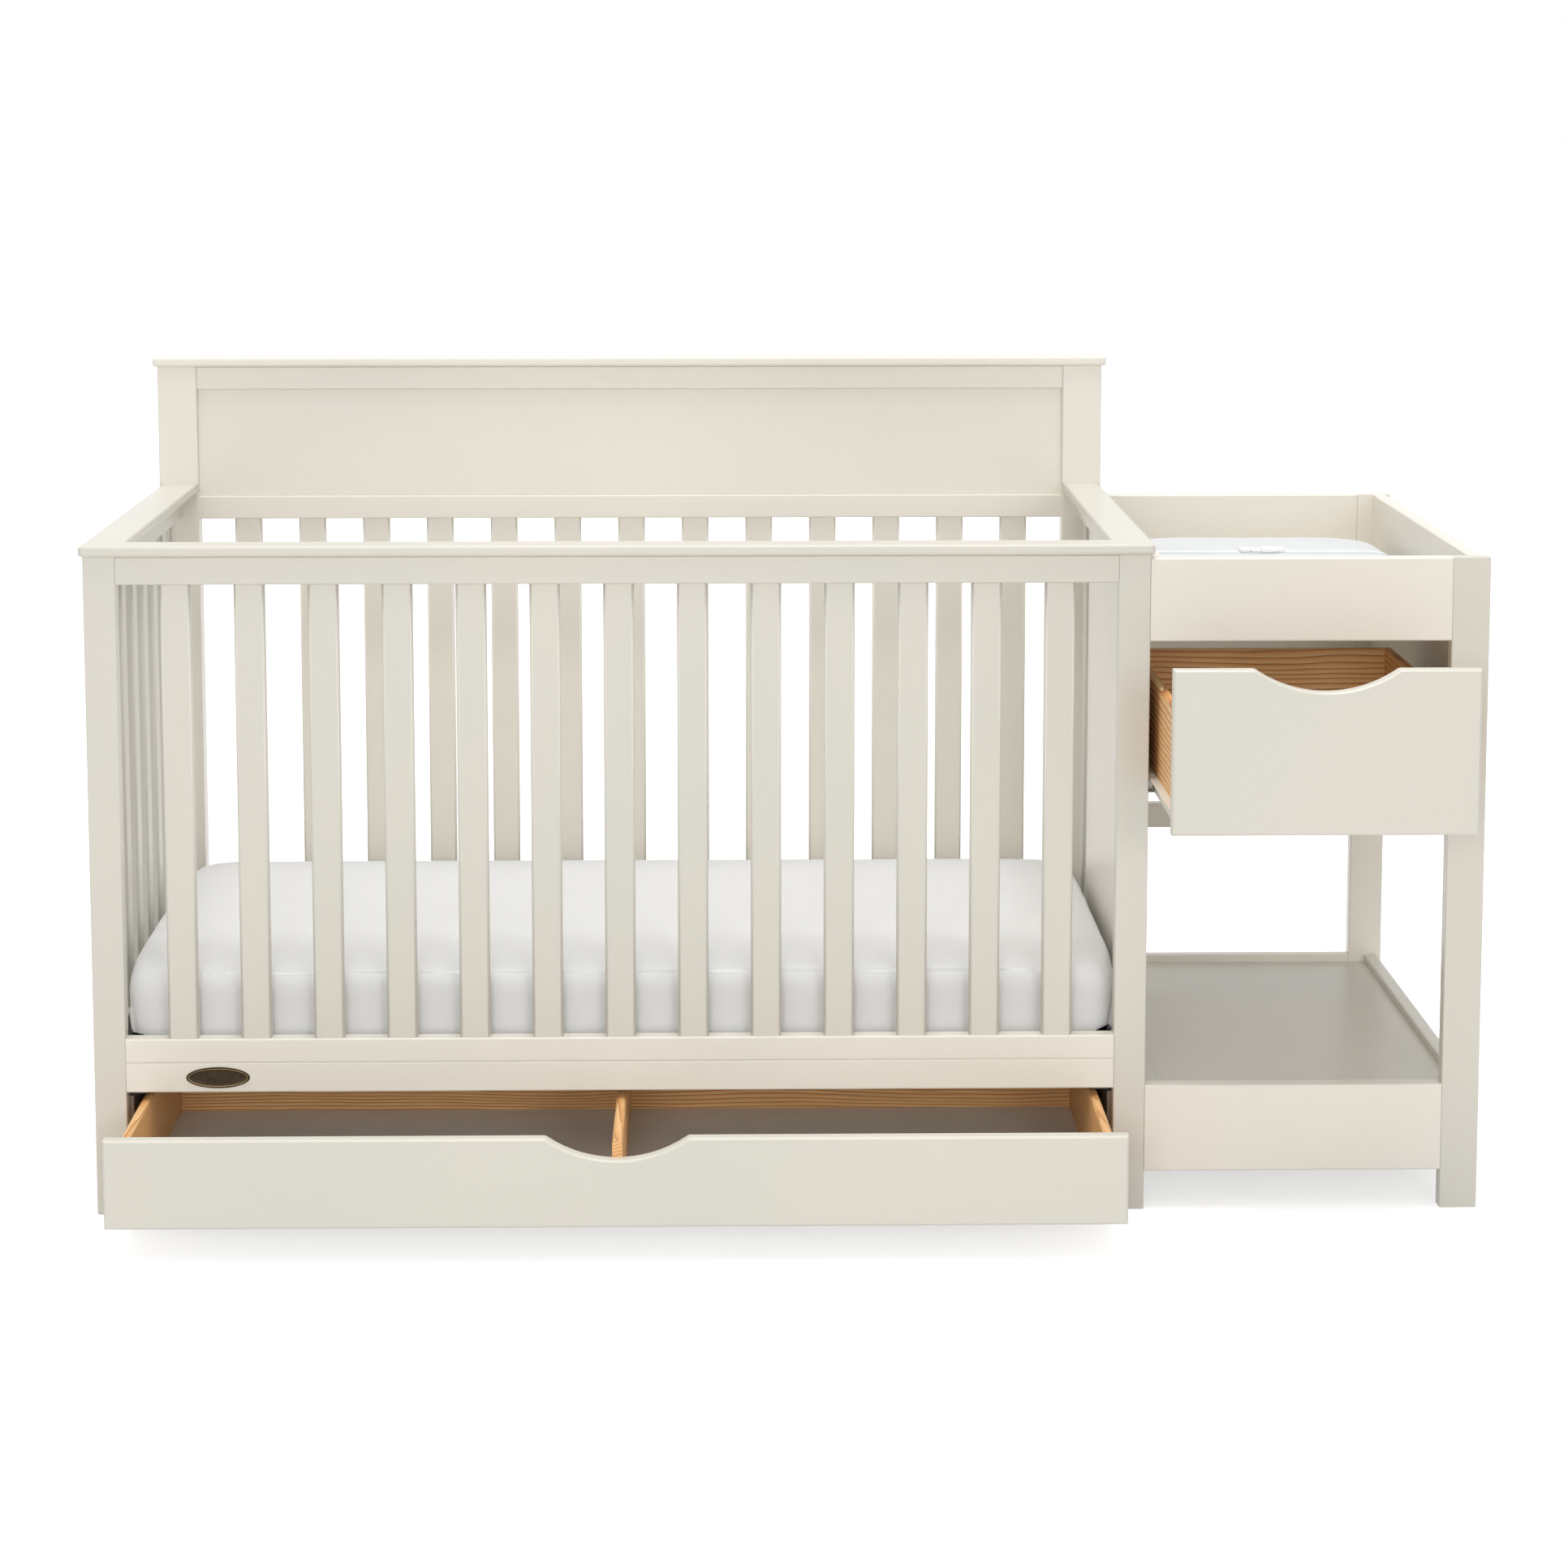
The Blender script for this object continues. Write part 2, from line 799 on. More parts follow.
def ring_skin(
    rings: Sequence[Sequence[Point]], closed: bool, capped: bool, looped: bool = False
) -> bpy.types.Mesh:
    """Joins equal rings of points with faces.

    Args:
        rings: The rings, each with the same count of points.
        closed: Whether a ring's last point joins its first.
        capped: Whether the first and last ring are filled.
        looped: Whether the last ring joins the first.

    Returns:
        The mesh, with its faces pointing out.
    """
    shape = bmesh.new()
    grid = [[shape.verts.new(point) for point in ring] for ring in rings]
    count = len(rings[0])
    if looped:
        grid.append(grid[0])
    for lower, upper in zip(grid, grid[1:]):
        for i in range(count if closed else count - 1):
            j = (i + 1) % count
            shape.faces.new((lower[i], lower[j], upper[j], upper[i]))
    if capped:
        shape.faces.new(tuple(reversed(grid[0])))
        shape.faces.new(grid[-1])
    bmesh.ops.recalc_face_normals(shape, faces=shape.faces)
    return keep_mesh(shape, "skin")


def swept(
    path: Sequence[tuple[Vector, Vector]], section: Sequence[FlatPoint], looped: bool
) -> bpy.types.Mesh:
    """Sweeps a section along a path that lies on a surface.

    Args:
        path: Points of the surface, each with the surface's normal.
        section: The section's corners, as distances to the side and away from the surface.
        looped: Whether the path ends where it starts.

    Returns:
        The mesh, closed at both ends or all the way round.
    """
    rings, count = [], len(path)
    for index, (spot, normal) in enumerate(path):
        before = path[index - 1][0] if looped or index else spot
        after = path[(index + 1) % count][0] if looped or index + 1 < count else spot
        side = (after - before).cross(normal).normalized()
        rings.append([tuple(spot + side * across + normal * away) for across, away in section])
    return ring_skin(rings, closed=True, capped=not looped, looped=looped)


class PartsMaker:
    """A Geometry Nodes tree with named inputs that lays out one kind of repeated part."""

    def __init__(self, name: str) -> None:
        """Starts an empty tree.

        Args:
            name: The tree's name.
        """
        self.tree = bpy.data.node_groups.new(name, "GeometryNodeTree")
        face = self.tree.interface
        face.new_socket(name="Places", in_out="INPUT", socket_type="NodeSocketGeometry")
        face.new_socket(name="Parts", in_out="OUTPUT", socket_type="NodeSocketGeometry")
        self.source = self.tree.nodes.new("NodeGroupInput")
        self.sink = self.tree.nodes.new("NodeGroupOutput")
        self.keys: dict[str, str] = {}

    @property
    def places(self) -> Socket:
        """The points that the parts stand on."""
        return self.source.outputs["Places"]

    def size(self, name: str, kind: str = "NodeSocketFloat") -> Socket:
        """Adds a named input to the tree and gives its socket.

        Args:
            name: The input's name.
            kind: Its type.

        Returns:
            The socket that carries its value.
        """
        item = self.tree.interface.new_socket(name=name, in_out="INPUT", socket_type=kind)
        self.keys[name] = item.identifier
        return self.source.outputs[name]

    def add(self, kind: str, inputs: Optional[Inputs] = None, **settings: object) -> bpy.types.Node:
        """Adds a node of that kind to the tree."""
        return add_node(self.tree, kind, inputs, **settings)

    def sum(self, operation: str, first: SocketValue, second: SocketValue = 0.0) -> Socket:
        """Adds a Math node and gives its result."""
        return self.add("ShaderNodeMath", {0: first, 1: second}, operation=operation).outputs[0]

    def vector(self, x: SocketValue = 0.0, y: SocketValue = 0.0, z: SocketValue = 0.0) -> Socket:
        """Joins three values into a vector."""
        return self.add("ShaderNodeCombineXYZ", {0: x, 1: y, 2: z}).outputs[0]

    def repeat(self, part: Socket, material: Finish, turned: bool = False) -> None:
        """Stands the part on every place and ends the tree.

        Args:
            part: The geometry of one part.
            material: The parts' finish.
            turned: Whether each place's "facing" attribute turns its part's Z axis.
        """
        inputs: dict[Union[str, int], SocketValue] = {"Points": self.places, "Instance": part}
        if turned:
            facing = self.add("GeometryNodeInputNamedAttribute", {"Name": "facing"}, data_type="FLOAT_VECTOR")
            turn = self.add("FunctionNodeAlignRotationToVector", {"Vector": facing.outputs[0]}, axis="Z")
            inputs["Rotation"] = turn.outputs[0]
        spread = self.add("GeometryNodeInstanceOnPoints", inputs)
        whole = self.add("GeometryNodeRealizeInstances", {"Geometry": spread.outputs[0]})
        done = self.add("GeometryNodeSetMaterial", {"Geometry": whole.outputs[0], "Material": material})
        self.tree.links.new(done.outputs[0], self.sink.inputs[0])

    def build(
        self,
        name: str,
        places: Iterable[Sequence[float]],
        sizes: Mapping[str, float],
        facings: Optional[Iterable[Sequence[float]]] = None,
    ) -> bpy.types.Object:
        """Runs the tree and keeps the result as a plain mesh.

        Args:
            name: The piece's name.
            places: Where each part stands.
            sizes: A value for each named input.
            facings: The way that each part's Z axis points.

        Returns:
            The piece, with no modifier left on it.
        """
        seed = bpy.data.meshes.new(name + "_places")
        seed.from_pydata([tuple(p) for p in places], [], [])
        if facings is not None:
            store = seed.attributes.new("facing", "FLOAT_VECTOR", "POINT")
            store.data.foreach_set("vector", np.array(list(facings), np.float32).ravel())
        carrier = link(name + "_maker", seed)
        modifier = carrier.modifiers.new("maker", "NODES")
        modifier.node_group = self.tree
        for key, value in sizes.items():
            modifier[self.keys[key]] = value
        bpy.context.view_layer.update()
        made = carrier.evaluated_get(bpy.context.evaluated_depsgraph_get())
        mesh = bpy.data.meshes.new_from_object(made)
        carrier.modifiers.clear()
        bpy.data.objects.remove(carrier)
        mesh.name = name
        return link(name, mesh)


class SlatMaker(PartsMaker):
    """Lays out square slats whose four long edges are rounded."""

    ARC_POINTS = 5

    def __init__(self, material: Finish) -> None:
        """Builds the tree.

        Args:
            material: The slats' finish.
        """
        super().__init__("slat_row")
        wide, deep = self.size("Width"), self.size("Thickness")
        tall, radius = self.size("Length"), self.size("Edge radius")
        shape = self.add("GeometryNodeCurvePrimitiveQuadrilateral", {"Width": wide, "Height": deep})
        eased = self.add(
            "GeometryNodeFilletCurve",
            {"Curve": shape.outputs[0], "Radius": radius, "Count": self.ARC_POINTS, "Limit Radius": True},
            mode="POLY",
        )
        face = self.add("GeometryNodeFillCurve", {"Curve": eased.outputs[0]}, mode="NGONS")
        top = self.add(
            "GeometryNodeExtrudeMesh",
            {"Mesh": face.outputs[0], "Offset": self.vector(z=tall), "Individual": False},
        )
        bottom = self.add("GeometryNodeFlipFaces", {"Mesh": face.outputs[0]})
        whole = self.add("GeometryNodeJoinGeometry")
        for part in (top, bottom):
            self.tree.links.new(part.outputs[0], whole.inputs[0])
        slat = self.add("GeometryNodeMergeByDistance", {"Geometry": whole.outputs[0], "Distance": MERGE})
        self.repeat(slat.outputs[0], material)

    def row(self, name: str, boxes: Sequence[Box], radius: float) -> bpy.types.Object:
        """Builds a row of equal slats.

        Args:
            name: The piece's name.
            boxes: The box of each slat.
            radius: The radius of its long edges.

        Returns:
            The row as one piece.
        """
        size = boxes[0].size
        feet = [(box.middle.x, box.middle.y, box.low[2]) for box in boxes]
        sizes = {"Width": size.x, "Thickness": size.y, "Length": size.z, "Edge radius": radius}
        piece = self.build(name, feet, sizes)
        round_corners_only(piece.data)
        return piece


class ScrewMaker(PartsMaker):
    """Lays out pan-head screws with a cross recess, each facing its own way."""

    SIDES = 20
    TOP_SHARE = 0.7
    CROSS_LENGTH = 1.15
    CROSS_WIDTH = 0.24
    CROSS_RISE = 0.95

    def __init__(self, material: Finish) -> None:
        """Builds the tree.

        Args:
            material: The screws' finish.
        """
        super().__init__("pan_screws")
        radius, height = self.size("Head radius"), self.size("Head height")
        long, wide = (self.sum("MULTIPLY", radius, s) for s in (self.CROSS_LENGTH, self.CROSS_WIDTH))
        shape = {
            "Vertices": self.SIDES,
            "Radius Top": self.sum("MULTIPLY", radius, self.TOP_SHARE),
            "Radius Bottom": radius,
            "Depth": height,
        }
        head = self.add("GeometryNodeMeshCone", shape)
        bars = self.add("GeometryNodeJoinGeometry")
        raised = self.vector(z=self.sum("MULTIPLY", height, self.CROSS_RISE))
        for size in (self.vector(long, wide, height), self.vector(wide, long, height)):
            bar = self.add("GeometryNodeMeshCube", {"Size": size})
            moved = self.add("GeometryNodeTransform", {"Geometry": bar.outputs[0], "Translation": raised})
            self.tree.links.new(moved.outputs[0], bars.inputs[0])
        recess = {"Mesh 1": head.outputs["Mesh"], "Mesh 2": bars.outputs[0], "Self Intersection": True}
        screw = self.add("GeometryNodeMeshBoolean", recess, operation="DIFFERENCE", solver="EXACT")
        self.repeat(screw.outputs[0], material, turned=True)


class WireMaker(PartsMaker):
    """Lays out straight round wires, each along its facing."""

    SIDES = 12

    def __init__(self, material: Finish) -> None:
        """Builds the tree.

        Args:
            material: The wires' finish.
        """
        super().__init__("straight_wires")
        length, radius = self.size("Length"), self.size("Wire radius")
        line = self.add("GeometryNodeCurvePrimitiveLine", {"End": self.vector(z=length)})
        ring = self.add("GeometryNodeCurvePrimitiveCircle", {"Resolution": self.SIDES, "Radius": radius})
        parts = {"Curve": line.outputs[0], "Profile Curve": ring.outputs[0], "Fill Caps": True}
        self.repeat(self.add("GeometryNodeCurveToMesh", parts).outputs[0], material, turned=True)


class CoilMaker(PartsMaker):
    """Lays out small coil springs, each along its facing, with a straight tail at both ends."""

    SIDES = 6
    TURN_POINTS = 10

    def __init__(self, material: Finish) -> None:
        """Builds the tree.

        Args:
            material: The springs' finish.
        """
        super().__init__("coil_springs")
        length, radius = self.size("Coil length"), self.size("Coil radius")
        thick, turns, tail = self.size("Wire radius"), self.size("Turns"), self.size("Tail")
        ring = self.add("GeometryNodeCurvePrimitiveCircle", {"Resolution": self.SIDES, "Radius": thick})
        winding = {
            "Resolution": self.TURN_POINTS,
            "Rotations": turns,
            "Start Radius": radius,
            "End Radius": radius,
            "Height": length,
        }
        coil = self.add("GeometryNodeCurveSpiral", winding)
        below, above = self.sum("MULTIPLY", tail, -1.0), self.sum("ADD", length, tail)
        first = {"Start": self.vector(z=below), "End": self.vector(radius)}
        last = {"Start": self.vector(radius, z=length), "End": self.vector(z=above)}
        wires = self.add("GeometryNodeJoinGeometry")
        lines = [self.add("GeometryNodeCurvePrimitiveLine", ends) for ends in (first, last)]
        for part in (coil, *lines):
            self.tree.links.new(part.outputs[0], wires.inputs[0])
        parts = {"Curve": wires.outputs[0], "Profile Curve": ring.outputs[0], "Fill Caps": True}
        self.repeat(self.add("GeometryNodeCurveToMesh", parts).outputs[0], material, turned=True)


@dataclass
class RimCap:
    """The flat cap that runs round the crib's left end, front and right end in one smooth band."""

    top_edge: float = 0.0033
    bottom_edge: float = 0.0046
    corner: float = 0.0062
    least_corner: float = 0.0006
    steps: int = 6

    def section(self, wide: float, low: float, high: float) -> list[FlatPoint]:
        """Gives the cap's section as distances from its outer edge and heights.

        Args:
            wide: How far the band reaches in.
            low: Its underside's height.
            high: Its top's height.

        Returns:
            The section's corners, rounded.
        """
        top, bottom = self.top_edge, self.bottom_edge
        quarters = (
            (wide - bottom, low + bottom, bottom, -90),
            (wide - top, high - top, top, 0),
            (top, high - top, top, 90),
            (bottom, low + bottom, bottom, 180),
        )
        spots = []
        for inward, height, radius, start in quarters:
            for step in range(self.steps + 1):
                angle = math.radians(start + 90 * step / self.steps)
                spots.append((inward + radius * math.cos(angle), height + radius * math.sin(angle)))
        return spots

    def path(self, inward: float, height: float, box: Box) -> list[Point]:
        """Gives one long line of the band, that far in from its outer edge.

        Args:
            inward: How far in the line lies.
            height: The line's height.
            box: The whole band's box.

        Returns:
            The line's points, from the left end's back round to the right end's.
        """
        radius = max(self.corner - inward, self.least_corner)
        left, right = box.low[0] + inward, box.high[0] - inward
        front, back = box.low[1] + inward, box.high[1]
        line = [(left, back, height)]
        for centre_x, start in ((left + radius, 180), (right - radius, 270)):
            for step in range(self.steps + 1):
                angle = math.radians(start + 90 * step / self.steps)
                x, y = centre_x + radius * math.cos(angle), front + radius * (1 + math.sin(angle))
                line.append((x, y, height))
        return [*line, (right, back, height)]

    def build(self, paint: Finish) -> None:
        """Builds the band in place of the three cap boards.

        Args:
            paint: Its finish.
        """
        front, end = box_of("front_cap"), box_of("left_end_cap")
        box = Box(front.low, (front.high[0], end.high[1], front.high[2]))
        rings = [self.path(d, z, box) for d, z in self.section(end.size.x, front.low[2], front.high[2])]
        mesh = ring_skin(list(zip(*rings)), closed=True, capped=True)
        round_corners_only(mesh)
        piece = link("rim_cap", mesh, paint)
        place(piece, "frame", "white_paint", "front_cap", "left_end_cap", "right_end_cap")


@dataclass
class CribFrame:
    """The painted crib: legs, rails, headboard, end boards and slats."""

    slat_edge: float = 0.0034
    back_slat_edge: float = 0.0028

    def build(self, finishes: Finishes) -> None:
        """Dresses the boards and rounds the slats.

        Args:
            finishes: The furniture's finishes.
        """
        front = "front_leg_left front_leg_right front_top_rail left_end_bottom_rail left_end_top_rail"
        dress(finishes.paint, *front.split())
        inner = (
            "front_bottom_rail front_apron headboard_cap headboard_lower_rail headboard_panel "
            "headboard_post_left headboard_post_right headboard_top_rail back_bottom_rail "
            "right_end_board right_end_bottom_rail right_end_top_rail"
        )
        dress(finishes.warm_paint, *inner.split())
        dress(finishes.raw_board, "low_end_boards")
        RimCap().build(finishes.paint)
        rows = (
            ("front_slats", self.slat_edge, finishes.paint),
            ("back_slats", self.back_slat_edge, finishes.warm_paint),
            ("end_slats", self.slat_edge, finishes.paint),
        )
        for node, radius, paint in rows:
            row = SlatMaker(paint).row(node + "_rounded", solids_of(node), radius)
            place(row, "frame", "white_paint", node)


@dataclass
class BadgePlate:
    """A small blank oval plate of cast bronze on the apron.

    Attributes:
        length: Its length.
        height: Its height.
        from_left: How far its middle lies from the left leg's outer face.
        points: The points round its rim.
        end_trim: How much faster the rings close in at the ends than at the sides.
        inner_share: The share under which a ring is a plain scaled oval.
        bright_rings: The rings of faces on the raised inner line.
        profile: Each ring's share of the outline and its height off the apron.
    """

    length: float = 0.084
    height: float = 0.0285
    from_left: float = 0.163
    points: int = 96
    end_trim: float = 1.25
    inner_share: float = 0.6
    bright_rings: tuple[int, ...] = (7, 8)
    profile: tuple[FlatPoint, ...] = (
        (1.0, -0.0004),
        (1.0, 0.0007),
        (0.985, 0.0012),
        (0.955, 0.0014),
        (0.925, 0.0012),
        (0.905, 0.0007),
        (0.86, 0.0006),
        (0.845, 0.0011),
        (0.815, 0.0012),
        (0.8, 0.0007),
        (0.77, 0.0006),
        (0.5, 0.0007),
        (0.2, 0.0008),
        (0.01, 0.0008),
    )

    def build(self) -> None:
        """Builds the plate on the apron's front face."""
        apron, leg = box_of("front_apron"), box_of("front_leg_left")
        centre = Vector((leg.low[0] + self.from_left, apron.low[1], apron.middle.z))
        rings = []
        for share, rise in self.profile:
            trim = (1 - share) * self.height / 2
            half_long, half_tall = self.length / 2 - trim * self.end_trim, self.height / 2 - trim
            if share < self.inner_share:
                half_long, half_tall = self.length / 2 * share, self.height / 2 * share
            ring = []
            for i in range(self.points):
                angle = TAU * i / self.points
                x, z = half_long * math.cos(angle), half_tall * math.sin(angle)
                ring.append((centre.x + x, centre.y - rise, centre.z + z))
            rings.append(ring)
        mesh = ring_skin(rings, closed=True, capped=True)
        dark = AgedBronze("plate_dark", "3B332A", "4A3F30").material()
        bright = AgedBronze("plate_bright", "C4AA78", "9C8353", roughness=0.34).material()
        for metal in (dark, bright):
            mesh.materials.append(metal)
        for polygon in mesh.polygons:
            polygon.use_smooth = len(polygon.vertices) == 4
            ring = polygon.index // self.points
            polygon.material_index = 1 if ring in self.bright_rings else 0
        place(link("apron_plate", mesh), "frame", "zinc_steel")


@dataclass
class ChangerFrame:
    """The painted changing table beside the crib: legs, tray, end panel, stretchers and shelf."""

    def build(self, finishes: Finishes) -> None:
        """Dresses the boards.

        Args:
            finishes: The furniture's finishes.
        """
        dress(finishes.paint, "changer_front_leg", "shelf_panel", "shelf_rails")
        inner = (
            "changer_back_panel changer_back_post changer_back_rail changer_back_stretchers "
            "changer_front_rail changer_left_rail changer_side_panel changer_tray_floor shelf_apron"
        )
        dress(finishes.warm_paint, *inner.split())
        dress(finishes.raw_board, "changer_runner_rail")


@dataclass
class SlideScrews:
    """The screws through the slide members, three to a member, clear of the rollers."""

    radius: float = 0.0034
    height: float = 0.0013
    web: float = 0.0012
    rise: float = 0.0115
    from_front: float = 0.046
    from_back: float = 0.072

    def spots(self, member: Box, face: float) -> list[Point]:
        """Gives the screws' places on one member's web.

        Args:
            member: The member's box.
            face: The web's outer face along X.

        Returns:
            Three places, from front to back.
        """
        front, back = member.low[1] + self.from_front, member.high[1] - self.from_back
        height = member.low[2] + self.rise
        return [(face, y, height) for y in (front, (front + back) / 2, back)]

    def build(
        self, name: str, body: str, spots: Sequence[Point], ways: Sequence[float], steel: Finish
    ) -> None:
        """Builds the screws of one body.

        Args:
            name: The piece's name.
            body: The body that carries them.
            spots: Their places.
            ways: 1 or -1 for each, as it faces along X.
            steel: Their finish.
        """
        sizes = {"Head radius": self.radius, "Head height": self.height}
        piece = ScrewMaker(steel).build(name, spots, sizes, [(way, 0, 0) for way in ways])
        round_corners_only(piece.data)
        place(piece, body, "zinc_steel")

    def on_drawer(self, drawer: str, steel: Finish) -> None:
        """Screws a drawer's two members to its sides.

        Args:
            drawer: The drawer's name.
            steel: The screws' finish.
        """
        sides = box_of(f"{drawer}_sides")
        faces = ((sides.low[0] - self.web, -1.0), (sides.high[0] + self.web, 1.0))
        spots, ways = [], []
        for member, (face, way) in zip(solids_of(f"{drawer}_slides"), faces):
            spots += self.spots(member, face)
            ways += [way] * 3
        self.build(f"{drawer}_slide_screws", drawer, spots, ways, steel)

    def on_walls(self, steel: Finish) -> None:
        """Screws the fixed members to their walls.

        Args:
            steel: The screws' finish.
        """
        spots, ways = [], []
        for index, member in enumerate(solids_of("cabinet_slides")):
            left = index % 2 == 0
            face = member.low[0] + self.web if left else member.high[0] - self.web
            spots += self.spots(member, face)
            ways += [1.0 if left else -1.0] * 3
        self.build("wall_slide_screws", "frame", spots, ways, steel)


@dataclass
class PullDrawer:
    """A pine drawer behind a painted front, on roller slides."""

    name: str
    ring_pitch: float
    divided: bool = False
    side_shift: Point = (0.31, 0.12, 0.23)

    def build(self, finishes: Finishes) -> None:
        """Dresses the drawer, its slides and its rollers.

        Args:
            finishes: The furniture's finishes.
        """
        cross = PineBoard(f"{self.name}_pine_across", GrainAxis.X, self.ring_pitch).material()
        sides = PineBoard(f"{self.name}_pine_deep", GrainAxis.Y, self.ring_pitch, shift=self.side_shift)
        deep = sides.material()
        dress(finishes.paint, f"{self.name}_front")
        dress(deep, f"{self.name}_sides")
        dress(cross, f"{self.name}_back")
        if self.divided:
            dress(deep, f"{self.name}_divider")
        dress(finishes.drawer_floor, f"{self.name}_bottom")
        dress(finishes.slide, f"{self.name}_slides")
        dress(finishes.nylon, f"{self.name}_rollers", f"{self.name}_wall_rollers")
        SlideScrews().on_drawer(self.name, finishes.zinc)


@dataclass
class MattressDeck:
    """The steel frame, spring wires, hangers and bolts under the mattress.

    Attributes:
        wire: The radius of the deck's wires.
        spring_wire: The radius of the springs' wire.
        spring_radius: The radius of a spring.
        spring_length: Its length.
        spring_turns: How often it winds.
        tail: The straight wire at both of its ends.
        clear: How far the first tail's foot lies from the steel frame.
        above_bar: How far the springs lie above the frame's top.
        lug: The front plates' top corners, from the leg inwards, each as far from the leg and down.
        lug_reach: How far below a plate's top its corners lie at most.
    """

    wire: float = 0.0016
    spring_wire: float = 0.0008
    spring_radius: float = 0.0034
    spring_length: float = 0.038
    spring_turns: float = 14.0
    tail: float = 0.008
    clear: float = 0.010
    above_bar: float = 0.0019
    lug: tuple[FlatPoint, ...] = ((0.0, 0.0050), (0.0030, 0.0010), (0.0070, 0.0090), (0.0200, 0.0095))
    lug_reach: float = 0.006

    def build(self, finishes: Finishes) -> None:
        """Dresses the metal and strings the deck's wires and springs.

        Args:
            finishes: The furniture's finishes.
        """
        dress(finishes.spring, "support_bars")
        self.hangers(finishes.black)
        dress(finishes.zinc, "frame_bolts")
        dress(finishes.slide, "cabinet_slides")
        SlideScrews().on_walls(finishes.zinc)
        bars = solids_of("support_bars")
        inside = Box(
            (min(b.high[0] for b in bars), min(b.high[1] for b in bars), 0.0),
            (max(b.low[0] for b in bars), max(b.low[1] for b in bars), max(b.high[2] for b in bars)),
        )
        wires = solids_of("spring_deck")
        self.strings("cross_wires", [w for w in wires if w.size.y > w.size.x], 1, inside, finishes.spring)
        self.strings("long_wires", [w for w in wires if w.size.x > w.size.y], 0, inside, finishes.spring)

    def hangers(self, steel: Finish) -> None:
        """Makes the four hangers, the front ones cut to a slim lug where they stand over the rail.

        Args:
            steel: Their finish.
        """
        shape = bmesh.new()
        shape.from_mesh(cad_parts["support_hangers"].data)
        bmesh.ops.remove_doubles(shape, verts=shape.verts, dist=MERGE)
        boxes = solids_of("support_hangers")
        front = min(box.low[1] for box in boxes)
        centre = sum(box.middle.x for box in boxes) / len(boxes)
        for box in (box for box in boxes if box.low[1] < front + MERGE):
            on_left = box.middle.x < centre
            leg = box.low[0] if on_left else box.high[0]
            low_x, high_x, base = box.low[0] - MERGE, box.high[0] + MERGE, box.high[2] - self.lug_reach
            plate = [v for v in shape.verts if low_x < v.co.x < high_x and v.co.y < box.high[1]]
            top = sorted((v for v in plate if v.co.z > base), key=lambda v: abs(v.co.x - leg))
            # The plate has a front and a back corner for each corner of the lug.
            for vert, (across, down) in zip(top, (spot for spot in self.lug for _ in range(2))):
                vert.co.x = leg + (across if on_left else -across)
                vert.co.z = box.high[2] - down
        plates = link("hanger_plates", keep_mesh(shape, "hanger_plates"), steel)
        place(plates, "frame", "black_steel", "support_hangers")

    def strings(self, name: str, wires: Sequence[Box], axis: int, inside: Box, steel: Finish) -> None:
        """Strings parallel wires between coil springs.

        Args:
            name: The piece's name.
            wires: The box of each wire.
            axis: 0 where they run along X and 1 along Y.
            inside: The opening inside the steel frame.
            steel: Their finish.
        """
        reach = self.clear + self.spring_length + self.tail
        low, high = inside.low[axis] + reach, inside.high[axis] - reach
        facing = [0.0, 0.0, 0.0]
        facing[axis] = 1.0
        starts = [list(wire.middle) for wire in wires]
        for start in starts:
            start[axis] = low
        sizes = {"Length": high - low, "Wire radius": self.wire}
        row = WireMaker(steel).build(name, starts, sizes, [facing] * len(starts))
        ends, ways = [], []
        for wire in wires:
            for edge, sign in ((inside.low[axis], 1.0), (inside.high[axis], -1.0)):
                spot = [wire.middle.x, wire.middle.y, inside.high[2] + self.above_bar]
                spot[axis] = edge + sign * self.clear
                ends.append(spot)
                ways.append([sign * part for part in facing])
        sizes = {
            "Coil length": self.spring_length,
            "Coil radius": self.spring_radius,
            "Wire radius": self.spring_wire,
            "Turns": self.spring_turns,
            "Tail": self.tail,
        }
        coils = CoilMaker(steel).build(name + "_springs", ends, sizes, ways)
        for piece in (row, coils):
            piece.data.shade_smooth()
            place(piece, "frame", "spring_steel", "spring_deck")


def rounded_outline(
    half_x: float, half_y: float, front: float, back: float, step: float
) -> list[FlatPoint]:
    """Gives the points of a rectangle with round corners.

    Args:
        half_x: Half its length.
        half_y: Half its depth.
        front: The radius of its two front corners.
        back: The radius of its two back corners.
        step: About how far its points lie apart.

    Returns:
        The points, round from the right-hand end of the back.
    """
    corners = ((1, 1, back), (-1, 1, back), (-1, -1, front), (1, -1, front))
    arcs = []
    for index, (sign_x, sign_y, radius) in enumerate(corners):
        centre = (sign_x * (half_x - radius), sign_y * (half_y - radius))
        turns = max(3, round(radius * math.pi / 2 / step))
        angles = [math.radians(90 * index + 90 * turn / turns) for turn in range(turns + 1)]
        arcs.append([(centre[0] + radius * math.cos(a), centre[1] + radius * math.sin(a)) for a in angles])
    line: list[FlatPoint] = []
    for arc, after in zip(arcs, arcs[1:] + arcs[:1]):
        start, end = arc[-1], after[0]
        cuts = max(1, round(math.dist(start, end) / step))
        line += arc
        line += [
            (start[0] + (end[0] - start[0]) * cut / cuts, start[1] + (end[1] - start[1]) * cut / cuts)
            for cut in range(1, cuts)
        ]
    return line


@dataclass(frozen=True)
class Shoulder:
    """The rounding between a slab's faces: its height, and how far it reaches in from each side."""

    height: float
    ends: float
    front: float
    back: float


